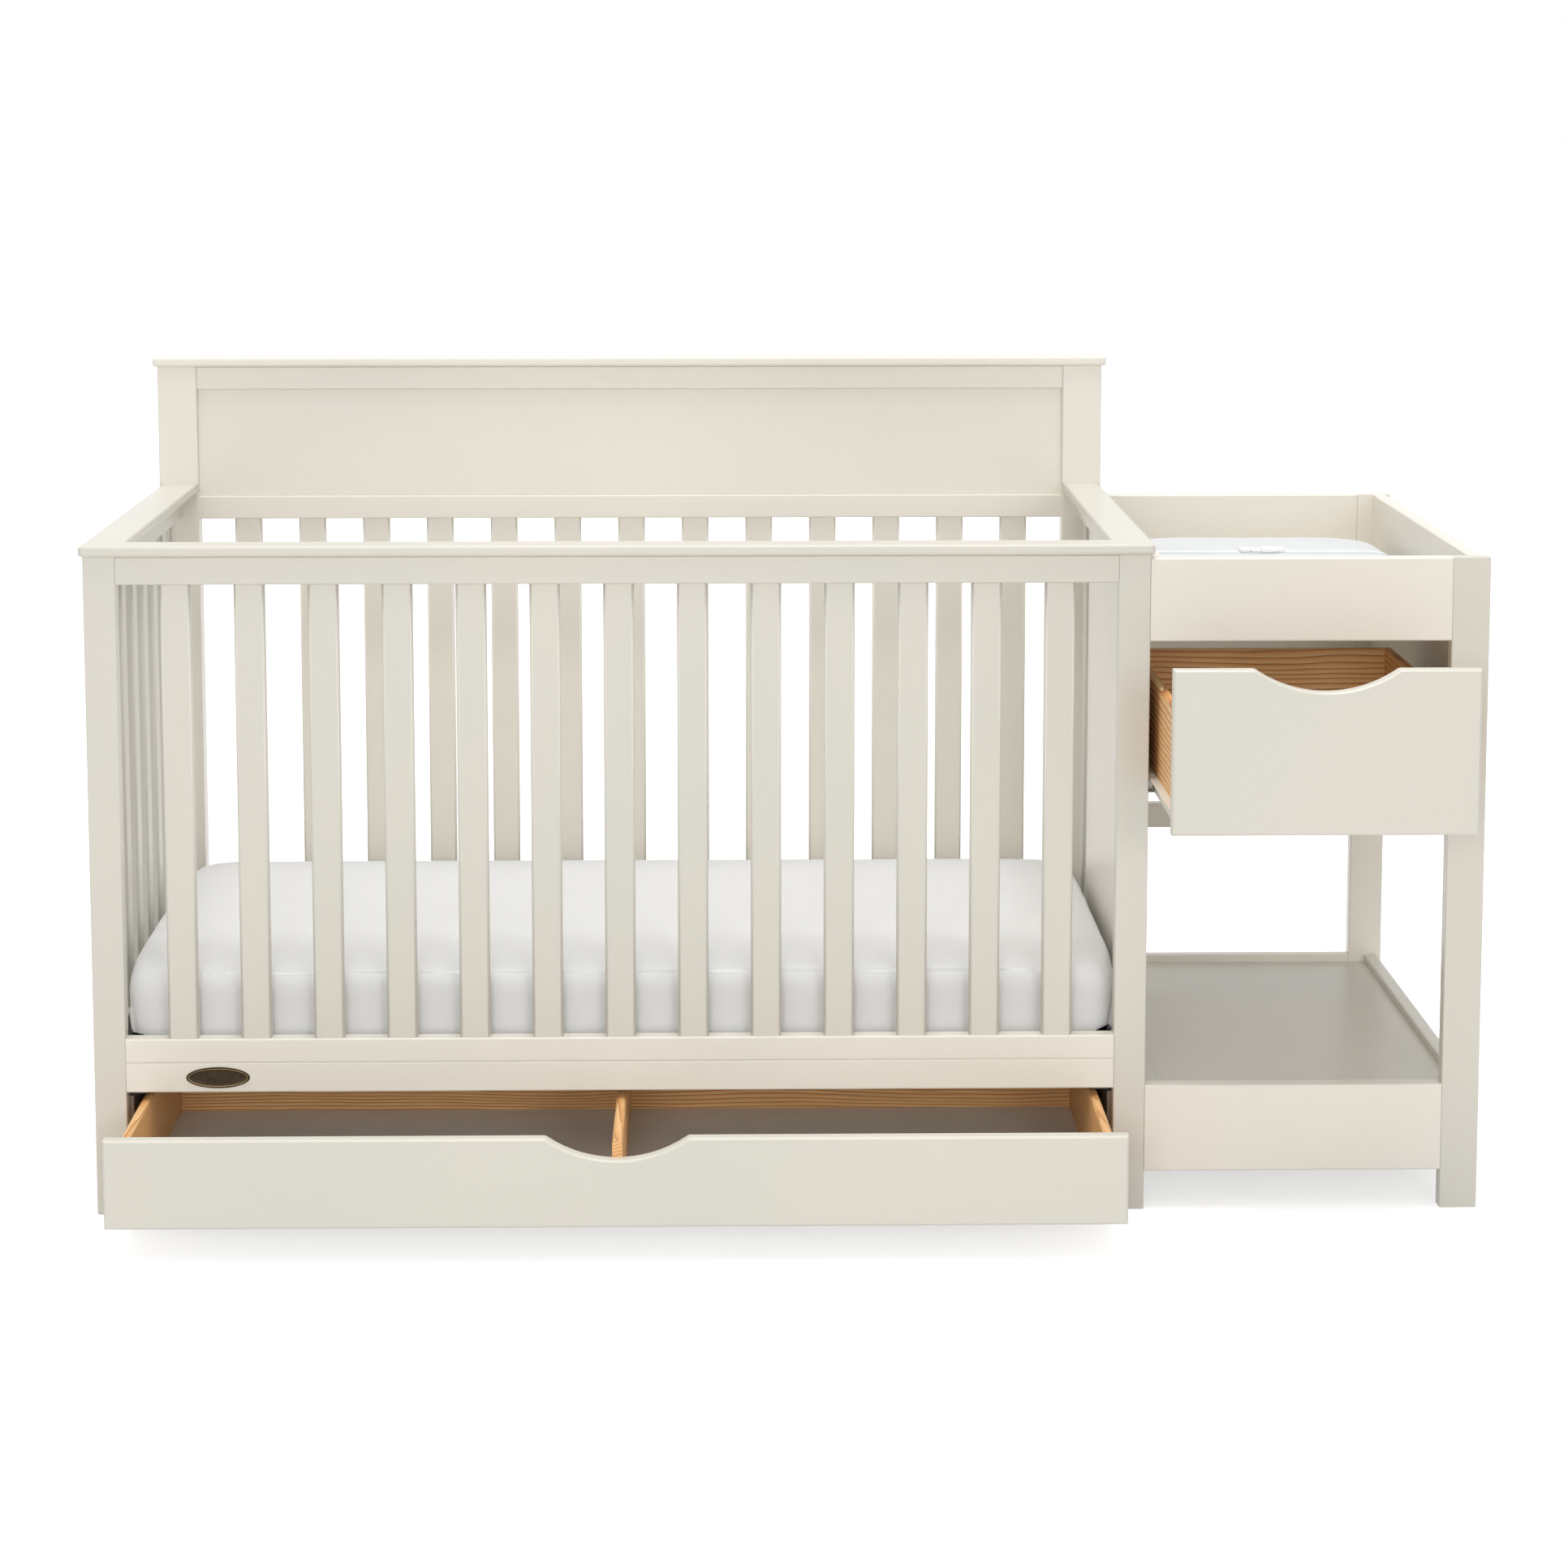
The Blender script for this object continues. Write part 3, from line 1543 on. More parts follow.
@dataclass
class StuffedSlab:
    """A foam slab with round corners and soft shoulders, which a cloth simulation puffs up.

    Attributes:
        name: The piece's name.
        box: The box that it fills and never leaves.
        front_corner: The radius of its front corners.
        back_corner: The radius of its back corners.
        shoulder: The rounding between its faces.
        voxel: The size of its faces before they are split.
        room: How far it starts inside its box, to leave room for the puff.
        travel: How far a point may move.
        pressure: The pressure inside it.
        frames: How long the simulation runs.
        quality: The simulation's steps to a frame.
        sag: The share that is kept of a move inwards.
        room_below: The share of the room that is left under it.
        steps: The faces to a quarter turn of its shoulders.
        point_step: About how far apart the points of its outline lie.
        least_corner: The least radius of its corners.
    """

    name: str
    box: Box
    front_corner: float
    back_corner: float
    shoulder: Shoulder
    voxel: float
    room: float
    travel: float
    pressure: float = 4.0
    frames: int = 20
    quality: int = 4
    sag: float = 0.15
    room_below: float = 0.3
    steps: int = 6
    point_step: float = 0.02
    least_corner: float = 0.004

    def rings(self) -> list[list[Point]]:
        """Gives the slab's outline at each height of its rounded side.

        Returns:
            The outlines, from the underside up, each with the same count of points.
        """
        size, centre = self.box.size, self.box.middle
        tall = self.shoulder.height
        low, high = self.box.low[2] + self.room * self.room_below, self.box.high[2] - self.room
        rings = []
        for base, start in ((low + tall, -90), (high - tall, 0)):
            for step in range(self.steps + 1):
                angle = math.radians(start + 90 * step / self.steps)
                share = 1 - math.cos(angle)
                ends = self.room + self.shoulder.ends * share
                face = self.room + self.shoulder.front * share
                rear = self.room + self.shoulder.back * share
                inward = min(ends, face)
                corners = [max(c - inward, self.least_corner) for c in (self.front_corner, self.back_corner)]
                half = (size.x / 2 - ends, (size.y - face - rear) / 2)
                outline = rounded_outline(*half, *corners, self.point_step)
                if rings and len(outline) != len(rings[0]):
                    outline = self.same_count(outline, len(rings[0]))
                middle, height = centre.y + (face - rear) / 2, base + tall * math.sin(angle)
                rings.append([(centre.x + x, middle + y, height) for x, y in outline])
        return rings

    @staticmethod
    def same_count(outline: list[FlatPoint], count: int) -> list[FlatPoint]:
        """Spaces an outline's points again so that there are as many as asked.

        Args:
            outline: The points.
            count: How many there are to be.

        Returns:
            The new points.
        """
        line = np.array([*outline, outline[0]])
        walked = np.concatenate([[0], np.cumsum(np.linalg.norm(np.diff(line, axis=0), axis=1))])
        marks = np.linspace(0, walked[-1], count, endpoint=False)
        return list(zip(np.interp(marks, walked, line[:, 0]), np.interp(marks, walked, line[:, 1])))

    def build(self, material: Finish) -> bpy.types.Object:
        """Builds, remeshes, puffs and smooths the slab.

        Args:
            material: The slab's cover.

        Returns:
            The slab as a plain mesh.
        """
        piece = link(self.name, ring_skin(self.rings(), closed=True, capped=True), material)
        self.apply(piece, "REMESH", mode="VOXEL", voxel_size=self.voxel)
        self.puff(piece)
        self.apply(piece, "SUBSURF", levels=1, render_levels=1)
        piece.data.shade_smooth()
        return piece

    def puff(self, piece: bpy.types.Object) -> None:
        """Lets pressure swell the slab and caps how far any point goes.

        Args:
            piece: The slab.
        """
        rest = np.array([v.co for v in piece.data.vertices])
        normals = np.array([v.normal for v in piece.data.vertices])
        modifier = piece.modifiers.new("puff", "CLOTH")
        modifier.settings.use_pressure = True
        modifier.settings.uniform_pressure_force = self.pressure
        modifier.settings.effector_weights.gravity = 0.0
        modifier.settings.quality = self.quality
        modifier.collision_settings.use_collision = False
        scene = bpy.context.scene
        scene.frame_end = max(scene.frame_end, self.frames)
        for number in range(1, self.frames + 1):
            scene.frame_set(number)
        swollen = piece.evaluated_get(bpy.context.evaluated_depsgraph_get()).to_mesh()
        moved = np.array([v.co for v in swollen.vertices]) - rest
        piece.modifiers.clear()
        scene.frame_set(1)
        far = np.linalg.norm(moved, axis=1, keepdims=True)
        kept = moved * np.minimum(1.0, self.travel / np.maximum(far, STILL))
        outward = np.einsum("ij,ij->i", moved, normals)[:, None]
        kept = np.where(outward > 0, kept, kept * self.sag)
        filled = np.clip(rest + kept, self.box.low, self.box.high)
        piece.data.vertices.foreach_set("co", filled.astype(np.float32).ravel())
        piece.data.update()

    @staticmethod
    def apply(piece: bpy.types.Object, kind: str, **settings: object) -> None:
        """Runs one modifier and keeps its result as the piece's mesh.

        Args:
            piece: The piece.
            kind: The modifier's type.
            settings: Attributes of the modifier.
        """
        modifier = piece.modifiers.new("step", kind)
        for name, value in settings.items():
            setattr(modifier, name, value)
        made = piece.evaluated_get(bpy.context.evaluated_depsgraph_get())
        mesh = bpy.data.meshes.new_from_object(made)
        piece.modifiers.clear()
        old = piece.data
        materials = list(old.materials)
        piece.data = mesh
        mesh.materials.clear()
        for material in materials:
            mesh.materials.append(material)
        bpy.data.meshes.remove(old)


def smooth_step(value: float, start: float, end: float) -> float:
    """Rises gently from 0 at the start to 1 at the end."""
    share = min(1.0, max(0.0, (value - start) / (end - start)))
    return share * share * (3 - 2 * share)


@dataclass
class CornerFold:
    """The pleat in which a fitted sheet gathers down one corner of a mattress.

    Attributes:
        box: The mattress's box.
        front_radius: The radius of its front corners.
        back_radius: The radius of its back corners.
        pinch: How far the pleat pulls the corner in.
        ridge: How far its crest stands off.
        ridge_width: How wide the crest is.
        valley: How deep the hollow beside it is.
        begins: The share of the way down at which it begins.
        ends: The share at which its crest has run its course.
        crest_start: Where the crest begins, round the corner.
        crest_run: How far it moves round on its way down.
        draw_low: How far the elastic draws the whole corner in.
        draw_high: How much further it draws in the top.
        draw_reach: How far from the corner that fades.
        draw_drop: How far below the top the further draw ends.
        pinch_run: How fast the pinch deepens behind the crest.
        pinch_flat: How far behind the crest it starts to fade.
        pinch_fade: How far it takes to fade.
        pinch_ends: The share of the way down at which it is deepest.
        crest_rise: Where the crest starts and stops rising, counted from where the pleat begins.
        crest_fall: The shares of the way down between which it dies away.
        valley_away: How far the hollow lies from the crest, in ridge widths.
        valley_width: How wide it is, in ridge widths.
    """

    box: Box
    front_radius: float
    back_radius: float
    pinch: float = 0.0034
    ridge: float = 0.0032
    ridge_width: float = 0.0032
    valley: float = 0.0014
    begins: float = 0.40
    ends: float = 0.76
    crest_start: float = -0.014
    crest_run: float = 0.012
    draw_low: float = 0.0040
    draw_high: float = 0.0080
    draw_reach: float = 0.080
    draw_drop: float = 0.045
    pinch_run: float = 0.006
    pinch_flat: float = 0.030
    pinch_fade: float = 0.045
    pinch_ends: float = 0.86
    crest_rise: FlatPoint = (-0.03, 0.12)
    crest_fall: FlatPoint = (0.80, 0.97)
    valley_away: float = 2.6
    valley_width: float = 1.6

    def way_round(self, spot: Vector) -> tuple[float, float]:
        """Finds where a point lies about its nearest corner.

        Args:
            spot: The point.

        Returns:
            Its distance round the corner, more than 0 towards the front or back face, and its
            share of the way down the side.
        """
        half, offset = self.box.size / 2, spot - self.box.middle
        radius = self.front_radius if offset.y < 0 else self.back_radius
        to_side, to_face = half.x - radius - abs(offset.x), half.y - radius - abs(offset.y)
        if to_side < 0 and to_face < 0:
            way = radius * (math.atan2(-to_face, -to_side) - math.pi / 4)
        elif to_face < 0:
            way = radius * math.pi / 4 + to_side
        else:
            way = -radius * math.pi / 4 - to_face
        return way, (self.box.high[2] - spot.z) / self.box.size.z

    def drawn_in(self, spot: Vector) -> Vector:
        """Gives how the sheet's elastic draws a corner in, most at the mattress's top.

        Args:
            spot: A point of the mattress.

        Returns:
            How far the point moves.
        """
        half, offset = self.box.size / 2, spot - self.box.middle
        far = math.hypot(max(0.0, half.x - abs(offset.x)), max(0.0, half.y - abs(offset.y)))
        high = 1 - smooth_step(self.box.high[2] - spot.z, 0.0, self.draw_drop)
        pull = (self.draw_low + self.draw_high * high) * math.exp(-((far / self.draw_reach) ** 2))
        way = Vector((-math.copysign(1.0, offset.x), -math.copysign(1.0, offset.y), 0.0))
        return way.normalized() * pull

    def crest(self, down: float) -> float:
        """Gives where the pleat's crest lies round the corner at a share of the way down."""
        return self.crest_start + self.crest_run * smooth_step(down, self.begins, self.ends)

    def tucked(self, spot: Vector, normal: Vector) -> float:
        """Gives how far the pleat pulls the mattress's corner in at a point.

        Args:
            spot: A point of the mattress.
            normal: The surface's normal there.

        Returns:
            The distance.
        """
        way, down = self.way_round(spot)
        behind = self.crest(down) - way
        if behind <= 0:
            return 0.0
        depth = self.pinch * smooth_step(down, self.begins, self.pinch_ends)
        fades = math.exp(-max(0.0, behind - self.pinch_flat) / self.pinch_fade)
        upright = math.hypot(normal.x, normal.y)
        return depth * (1 - math.exp(-behind / self.pinch_run)) * fades * upright

    def raised(self, spot: Vector, normal: Vector) -> float:
        """Gives how far the cloth stands off the mattress along the pleat's crest.

        Args:
            spot: A point of the mattress.
            normal: The surface's normal there.

        Returns:
            The distance, less than 0 in the hollow beside the crest.
        """
        way, down = self.way_round(spot)
        past = way - self.crest(down)
        rise = smooth_step(down, *(self.begins + edge for edge in self.crest_rise))
        share = rise * (1 - smooth_step(down, *self.crest_fall))
        crest = self.ridge * math.exp(-((past / self.ridge_width) ** 2))
        off = (past / self.ridge_width - self.valley_away) / self.valley_width
        hollow = self.valley * math.exp(-(off**2))
        return (crest - hollow) * share * math.hypot(normal.x, normal.y)


@dataclass
class BeddedMattress:
    """The crib mattress and the fitted sheet stretched over it.

    Attributes:
        front_corner: The radius of the front corners.
        back_corner: The radius of the back corners.
        shoulder: The rounding between the faces.
        voxel: The size of the mattress's faces before they are split.
        room: How far the mattress starts inside its box.
        travel: How far the simulation may move a point.
        crown: How far the top stands above the plain solid's.
        spread_left: How far the left end stands past the plain solid's.
        spread_right: How far the right end does.
        tuck: How far the sheet reaches in under the mattress.
        lift: How far it lies off the mattress.
        fine_reach: How far round a corner its faces are made finer.
        fine_band: The shares of the way down between which they are.
        upright: The least sideways part of the normals there.
        underside: The highest upward part of the normals of the underside.
        ripple_flat: How deep the sheet ripples on the flat.
        ripple_upright: How much deeper it ripples on the sides.
        ripples: The ripples' scale along each axis.
    """

    front_corner: float = 0.030
    back_corner: float = 0.055
    shoulder: Shoulder = Shoulder(height=0.026, ends=0.013, front=0.036, back=0.020)
    voxel: float = 0.010
    room: float = 0.0030
    travel: float = 0.0026
    crown: float = 0.0025
    spread_left: float = 0.0104
    spread_right: float = 0.0140
    tuck: float = 0.085
    lift: float = 0.0013
    fine_reach: float = 0.048
    fine_band: FlatPoint = (0.12, 0.99)
    upright: float = 0.5
    underside: float = -0.6
    ripple_flat: float = 0.0003
    ripple_upright: float = 0.0011
    ripples: Point = (9.0, 13.0, 10.0)

    def build(self, finishes: Finishes) -> None:
        """Builds the mattress and its sheet.

        Args:
            finishes: The furniture's finishes.
        """
        made = box_of("mattress")
        box = Box(
            (made.low[0] - self.spread_left, made.low[1] + self.lift, made.low[2]),
            (made.high[0] + self.spread_right, made.high[1], made.high[2] + self.crown),
        )
        corners = (self.front_corner, self.back_corner)
        slab = StuffedSlab(
            "mattress_core", box, *corners, self.shoulder, self.voxel, self.room, self.travel
        )
        core = slab.build(finishes.ticking)
        fold = CornerFold(box, self.front_corner, self.back_corner)
        pressed = [
            v.co - v.normal * fold.tucked(v.co, v.normal) + fold.drawn_in(v.co) for v in core.data.vertices
        ]
        core.data.vertices.foreach_set("co", np.array(pressed, np.float32).ravel())
        core.data.update()
        sheet = self.sheet(core, fold, finishes.bed_cotton)
        place(core, "mattress", "fitted_sheet", "mattress")
        place(sheet, "mattress", "fitted_sheet", "mattress")
        size = box.size

    def sheet(self, core: bpy.types.Object, fold: CornerFold, cotton: Finish) -> bpy.types.Object:
        """Copies the mattress's skin as a fitted sheet with a pleat down each corner.

        Args:
            core: The mattress.
            fold: Its corners' pleats.
            cotton: The sheet's cloth.

        Returns:
            The sheet.
        """
        shape = bmesh.new()
        shape.from_mesh(core.data)
        centre, half = fold.box.middle, fold.box.size / 2
        for _ in range(2):
            self.refine(shape, fold)
        shape.normal_update()
        for vertex in shape.verts:
            upright = math.hypot(vertex.normal.x, vertex.normal.y)
            depth = self.ripple_flat + self.ripple_upright * upright
            ripple = depth * noise.noise(vertex.co * Vector(self.ripples))
            away = self.lift + ripple + fold.raised(vertex.co, vertex.normal)
            vertex.co += vertex.normal * away
        lost = []
        for face in shape.faces:
            spot = face.calc_center_median()
            inside = min(half.x - abs(spot.x - centre.x), half.y - abs(spot.y - centre.y))
            if face.normal.z < self.underside and inside > self.tuck:
                lost.append(face)
        bmesh.ops.delete(shape, geom=lost, context="FACES")
        mesh = keep_mesh(shape, "fitted_sheet")
        mesh.shade_smooth()
        return link("fitted_sheet", mesh, cotton)

    def refine(self, shape: bmesh.types.BMesh, fold: CornerFold) -> None:
        """Splits the skin's faces round the front corners and evens them out.

        Args:
            shape: The skin.
            fold: The pleats that need the points.
        """
        shape.normal_update()
        chosen = []
        for edge in shape.edges:
            spot = (edge.verts[0].co + edge.verts[1].co) / 2
            way, down = fold.way_round(spot)
            sides = math.hypot(edge.verts[0].normal.x, edge.verts[0].normal.y)
            near = abs(way) < self.fine_reach and self.fine_band[0] < down < self.fine_band[1]
            if near and sides > self.upright and spot.y < fold.box.middle.y:
                chosen.append(edge)
        made = bmesh.ops.subdivide_edges(shape, edges=chosen, cuts=1, use_grid_fill=True)
        fresh = [item for item in made["geom_inner"] if isinstance(item, bmesh.types.BMVert)]
        around = list({v for vert in fresh for edge in vert.link_edges for v in edge.verts})
        every_way = {f"use_axis_{axis}": True for axis in "xyz"}
        bmesh.ops.smooth_vert(shape, verts=around, factor=0.5, **every_way)


@dataclass
class ChangingPad:
    """The soft pad in the changer's tray, piped round its side, with a strap and buckle over it.

    Attributes:
        corner: The radius of its corners.
        shoulder: The rounding between its faces.
        voxel: The size of its faces before they are split.
        room: How far it starts inside its box.
        travel: How far the simulation may move a point.
        crown: How far its top stands above the plain solid's.
        piping: The radius of the piping.
        strap_wide: The width of the strap.
        strap_thick: Its thickness at its edges.
        strap_behind: How far it lies behind the pad's middle.
        strap_edge: How wide its thin edges are.
        strap_crown: How much thicker it is between them.
        strap_gap: How far it lies off the pad.
        strap_centre: How far above the pad's middle the strap's bends are centred.
        strap_turn: The degrees between its points round a bend.
        strap_halves: The points on each half of its flat run.
        strap_inset: How far in from an end its bends are centred, in shoulder widths.
        cast_from: How far out a ray that looks for the pad's surface starts.
        pipe_sides: The sides of the piping's section.
        pipe_step: About how far apart the points along it lie.
        pipe_raise: How far its centre stands off the pad, in radii.
    """

    corner: float = 0.088
    shoulder: Shoulder = Shoulder(height=0.0125, ends=0.0125, front=0.0125, back=0.0125)
    voxel: float = 0.0060
    room: float = 0.0024
    travel: float = 0.0021
    crown: float = 0.0038
    piping: float = 0.0013
    strap_wide: float = 0.025
    strap_thick: float = 0.0009
    strap_behind: float = 0.126
    strap_edge: float = 0.001
    strap_crown: float = 0.0003
    strap_gap: float = 0.0002
    strap_centre: float = 0.002
    strap_turn: int = 10
    strap_halves: int = 32
    strap_inset: float = 1.5
    cast_from: float = 0.06
    pipe_sides: int = 8
    pipe_step: float = 0.012
    pipe_raise: float = 0.2

    def build(self, finishes: Finishes) -> None:
        """Builds the pad, its piping and its strap.

        Args:
            finishes: The furniture's finishes.
        """
        made = box_of("changing_pad")
        box = Box(made.low, (made.high[0], made.high[1], made.high[2] + self.crown))
        corners = (self.corner, self.corner)
        slab = StuffedSlab(
            "changing_cushion", box, *corners, self.shoulder, self.voxel, self.room, self.travel
        )
        pad = slab.build(finishes.pad_cover)
        place(pad, "changing_pad", "pad_cover", "changing_pad")
        spots, faces = [v.co for v in pad.data.vertices], [p.vertices for p in pad.data.polygons]
        skin = BVHTree.FromPolygons(spots, faces)
        self.pipe(box, skin, finishes.pad_cover)
        self.strap(box, skin, finishes)

    def pipe(self, box: Box, skin: BVHTree, cover: Finish) -> None:
        """Sews a piping cord round the pad's side.

        Args:
            box: The pad's box.
            skin: The pad's surface.
            cover: Its cloth.
        """
        half = box.size / 2
        outline = rounded_outline(half.x, half.y, self.corner, self.corner, self.pipe_step)
        path = []
        for x, y in outline:
            spot, normal, _, _ = skin.find_nearest(Vector((box.middle.x + x, box.middle.y + y, box.middle.z)))
            path.append((spot, normal))
        angles = [TAU * i / self.pipe_sides for i in range(self.pipe_sides)]
        section = [(self.piping * math.cos(a), self.piping * (self.pipe_raise + math.sin(a))) for a in angles]
        piece = link("pad_piping", swept(path, section, looped=True), cover)
        piece.data.shade_smooth()
        place(piece, "changing_pad", "pad_cover", "changing_pad")

    def strap(self, box: Box, skin: BVHTree, finishes: Finishes) -> None:
        """Lays the webbing over the pad from seam to seam, with the buckle in its middle.

        Args:
            box: The pad's box.
            skin: The pad's surface.
            finishes: The furniture's finishes.
        """
        across = box.middle.y + self.strap_behind
        reach = box.size.x / 2 - self.shoulder.ends * self.strap_inset
        rises = [math.radians(turn) for turn in range(0, 91, self.strap_turn)]
        bend = [(-reach, Vector((-math.cos(rise), 0, math.sin(rise)))) for rise in rises]
        steps = range(1, 2 * self.strap_halves)
        flat = [(reach * (step / self.strap_halves - 1), Vector((0, 0, 1))) for step in steps]
        path = []
        for x, away in (*bend, *flat, *((-x, Vector((-way.x, 0, way.z))) for x, way in reversed(bend))):
            centre = Vector((box.middle.x + x, across, box.middle.z + self.strap_centre))
            spot, normal, _, _ = skin.ray_cast(centre + away * self.cast_from, -away)
            path.append((spot, normal))
        thick, wide = self.strap_thick, self.strap_wide / 2
        inner, crown = wide - self.strap_edge, thick + self.strap_crown
        section = [(-wide, self.strap_gap), (wide, self.strap_gap), (wide, thick), (inner, crown)]
        section += [(-inner, crown), (-wide, thick)]
        piece = link("pad_strap", swept(path, section, looped=False), finishes.webbing)
        round_corners_only(piece.data)
        place(piece, "changing_pad", "pad_cover", "changing_pad")
        above = Vector((box.middle.x, across, box.high[2] + self.cast_from))
        spot, _, _, _ = skin.ray_cast(above, Vector((0, 0, -1)))
        SideReleaseBuckle().build(spot + Vector((0, 0, thick)), finishes.buckle)


@dataclass
class SideReleaseBuckle:
    """A moulded side-release buckle: a socket, and a plug with two sprung arms."""

    thick: float = 0.0050
    plug_share: float = 0.78
    arm_share: float = 0.55
    rounding: float = 0.0009
    socket: tuple[FlatPoint, ...] = ((0.0, 0.0165), (0.019, 0.0165), (0.026, 0.0135), (0.034, 0.0135))
    plug: tuple[FlatPoint, ...] = ((-0.030, 0.0135), (-0.016, 0.0135), (-0.0155, 0.0090), (0.0035, 0.0090))
    arm: tuple[FlatPoint, ...] = ((-0.0155, 0.0125), (-0.0155, 0.0150), (-0.002, 0.0172), (0.0015, 0.0150))

    def build(self, spot: Vector, plastic: Finish) -> None:
        """Builds the buckle on the strap.

        Args:
            spot: The middle of its underside.
            plastic: Its finish.
        """
        shape = bmesh.new()
        outlines = [
            [*self.socket, *((x, -y) for x, y in reversed(self.socket))],
            [*self.plug, *((x, -y) for x, y in reversed(self.plug))],
            list(self.arm),
            [(x, -y) for x, y in reversed(self.arm)],
        ]
        shares = (1.0, self.plug_share, self.arm_share, self.arm_share)
        for outline, share in zip(outlines, shares):
            thick = self.thick * share
            lift = (self.thick - thick) / 2
            corners = [shape.verts.new((spot.x + x, spot.y + y, spot.z + lift)) for x, y in outline]
            face = shape.faces.new(corners)
            top = bmesh.ops.extrude_face_region(shape, geom=[face])["geom"]
            moved = [item for item in top if isinstance(item, bmesh.types.BMVert)]
            bmesh.ops.translate(shape, verts=moved, vec=(0, 0, thick))
        bmesh.ops.recalc_face_normals(shape, faces=shape.faces)
        rounded = {"offset": self.rounding, "segments": 2, "affect": "EDGES", "clamp_overlap": True}
        bmesh.ops.bevel(shape, geom=list(shape.edges), **rounded)
        mesh = keep_mesh(shape, "pad_buckle")
        round_corners_only(mesh)
        place(link("pad_buckle", mesh, plastic), "changing_pad", "pad_cover", "changing_pad")


@dataclass(frozen=True)
class Softbox:
    """A square lamp that faces a target."""

    name: str
    spot: Point
    target: Point
    size: float
    power: float

    def hang(self) -> None:
        """Hangs the lamp."""
        data = bpy.data.lights.new(self.name, "AREA")
        data.shape, data.size, data.energy = "SQUARE", self.size, self.power
        lamp = bpy.data.objects.new(self.name, data)
        lamp.location = self.spot
        lamp.rotation_euler = (Vector(self.target) - Vector(self.spot)).to_track_quat("-Z", "Y").to_euler()
        bpy.context.scene.collection.objects.link(lamp)


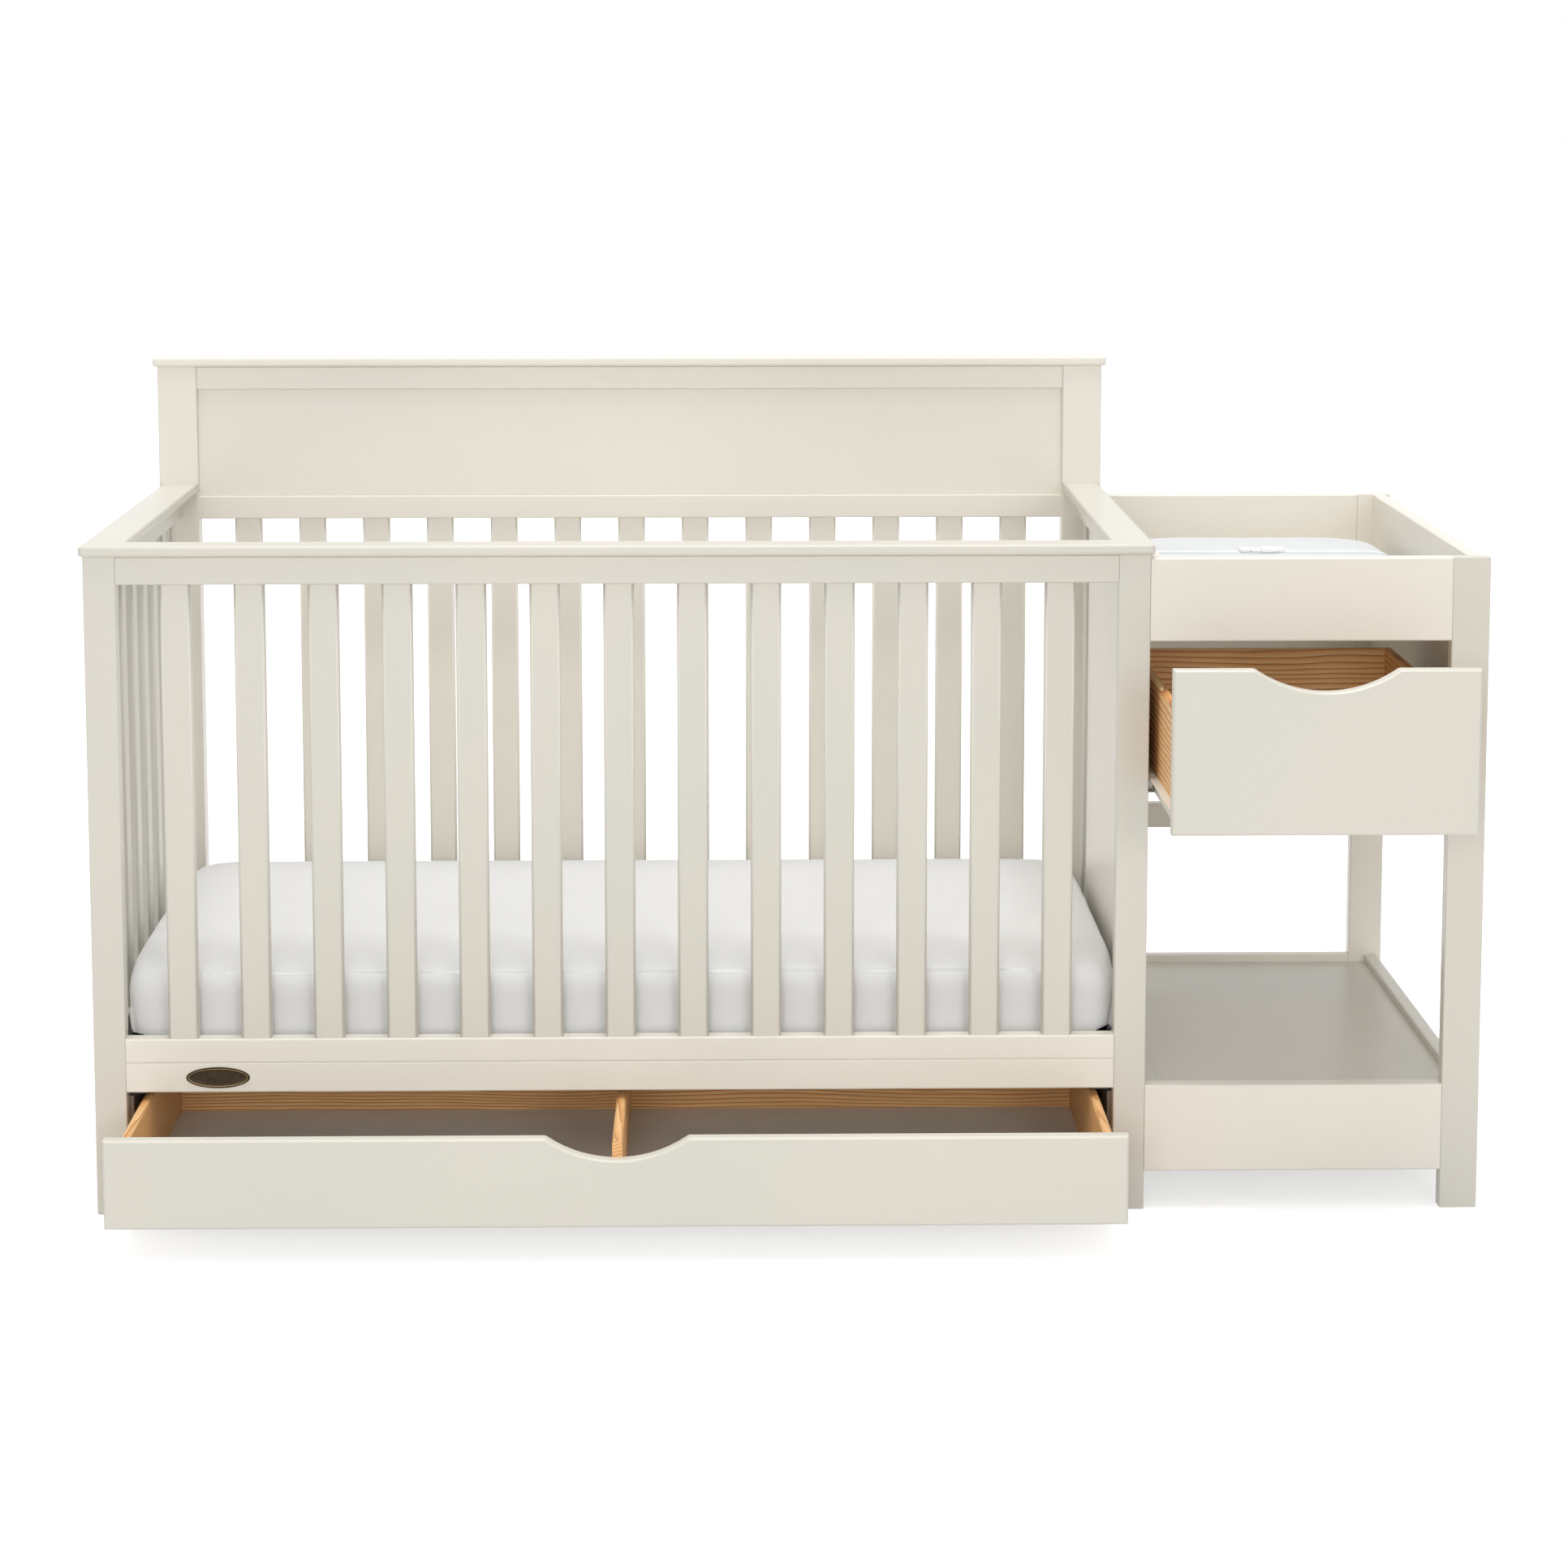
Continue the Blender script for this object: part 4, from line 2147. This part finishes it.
@dataclass(frozen=True)
class Studio:
    """The white studio: floor, soft lamps, world and camera.

    Attributes:
        eye: The camera's place.
        yaw_right: The degrees by which it looks to the right.
        pitch_down: The degrees by which it looks down.
        lens: Its focal length in millimetres.
        sensor: Its sensor's width in millimetres.
        shift_y: Its vertical shift.
        ambient: The world's strength as a light.
        floor_reach: Half the floor's length.
        floor_tone: How much light the floor gives back.
        glow_from: The distances from the middle between which the floor's glow grows.
        glow_level: The glow's strength at both.
        lamps: The lamps.
    """

    eye: Point = (-0.0851, -5.0763, 1.4989)
    yaw_right: float = 1.024
    pitch_down: float = 7.251
    lens: float = 85.315
    sensor: float = 36.0
    shift_y: float = -0.15
    ambient: float = 0.60
    floor_reach: float = 30.0
    floor_tone: float = 0.75
    glow_from: FlatPoint = (1.2, 7.0)
    glow_level: FlatPoint = (0.6, 0.8)
    lamps: tuple[Softbox, ...] = (
        Softbox("top_softbox", (0.0, -0.3, 7.0), target=(0.0, 0.0, 0.4), size=3.5, power=280.0),
        Softbox("key_softbox", (1.9, -6.2, 2.0), target=(-0.1, 0.0, 0.3), size=1.5, power=50.0),
        Softbox("fill_softbox", (-0.9, -6.4, 1.9), target=(0.0, 0.0, 0.3), size=1.8, power=85.0),
    )

    def build(self) -> None:
        """Builds the studio."""
        self.camera()
        self.world()
        self.floor()
        for lamp in self.lamps:
            lamp.hang()
        bpy.context.scene.view_settings.view_transform = "Standard"

    def camera(self) -> None:
        """Sets the camera at the eye."""
        data = bpy.data.cameras.new("camera")
        data.sensor_width, data.lens, data.shift_y = self.sensor, self.lens, self.shift_y
        data.sensor_fit = "HORIZONTAL"
        camera = bpy.data.objects.new("camera", data)
        camera.location = self.eye
        turn = (math.radians(90 - self.pitch_down), 0.0, -math.radians(self.yaw_right))
        camera.rotation_euler = Euler(turn, "XYZ")
        bpy.context.scene.collection.objects.link(camera)
        bpy.context.scene.camera = camera

    @staticmethod
    def seen(tree: bpy.types.NodeTree) -> Socket:
        """Tells the rays that see the background straight, mirrored or through glass.

        Args:
            tree: The tree that asks.

        Returns:
            A value of 1 for those rays and 0 for the rest.
        """
        rays = add_node(tree, "ShaderNodeLightPath").outputs
        total = rays["Is Camera Ray"]
        for kind in ("Is Glossy Ray", "Is Transmission Ray"):
            both = {0: total, 1: rays[kind]}
            total = add_node(tree, "ShaderNodeMath", both, operation="ADD", use_clamp=True).outputs[0]
        return total

    def world(self) -> None:
        """Makes a world that lights softly and looks white."""
        world = bpy.data.worlds.new("studio")
        world.use_nodes = True
        tree = world.node_tree
        strength = add_node(tree, "ShaderNodeMapRange", {"Value": self.seen(tree), "To Min": self.ambient})
        light = {"Color": WHITE, "Strength": strength.outputs["Result"]}
        join_inputs(tree, tree.nodes["Background"], light)
        bpy.context.scene.world = world

    def floor(self) -> None:
        """Lays a white floor that keeps a soft shadow."""
        shape = bmesh.new()
        bmesh.ops.create_grid(shape, x_segments=8, y_segments=8, size=self.floor_reach)
        material = bpy.data.materials.new("studio_floor")
        material.use_nodes = True
        tree = material.node_tree
        tree.nodes.clear()
        matt = add_node(tree, "ShaderNodeBsdfDiffuse", {"Color": (*(self.floor_tone,) * 3, 1.0)})
        spot = add_node(tree, "ShaderNodeTexCoord").outputs["Object"]
        away = add_node(tree, "ShaderNodeVectorMath", {0: spot}, operation="LENGTH").outputs["Value"]
        fade = {"Value": away, "From Min": self.glow_from[0], "From Max": self.glow_from[1]}
        fade |= {"To Min": self.glow_level[0], "To Max": self.glow_level[1]}
        level = add_node(tree, "ShaderNodeMapRange", fade).outputs["Result"]
        shown = {0: self.seen(tree), 1: level}
        strength = add_node(tree, "ShaderNodeMath", shown, operation="MULTIPLY").outputs[0]
        glow = add_node(tree, "ShaderNodeEmission", {"Strength": strength})
        both = add_node(tree, "ShaderNodeAddShader", {0: matt.outputs[0], 1: glow.outputs[0]})
        add_node(tree, "ShaderNodeOutputMaterial", {"Surface": both.outputs[0]})
        link("studio_floor", keep_mesh(shape, "floor"), material)


def main() -> None:
    """Builds the studio and every sub-assembly in order."""
    logging.basicConfig(level=logging.INFO, format="%(name)s %(message)s")
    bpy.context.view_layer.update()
    Studio().build()
    finishes = Finishes()
    CribFrame().build(finishes)
    BadgePlate().build()
    ChangerFrame().build(finishes)
    PullDrawer("crib_drawer", ring_pitch=0.0046, divided=True).build(finishes)
    PullDrawer("changer_drawer", ring_pitch=0.0085).build(finishes)
    MattressDeck().build(finishes)
    BeddedMattress().build(finishes)
    ChangingPad().build(finishes)


if __name__ == "__main__":
    main()
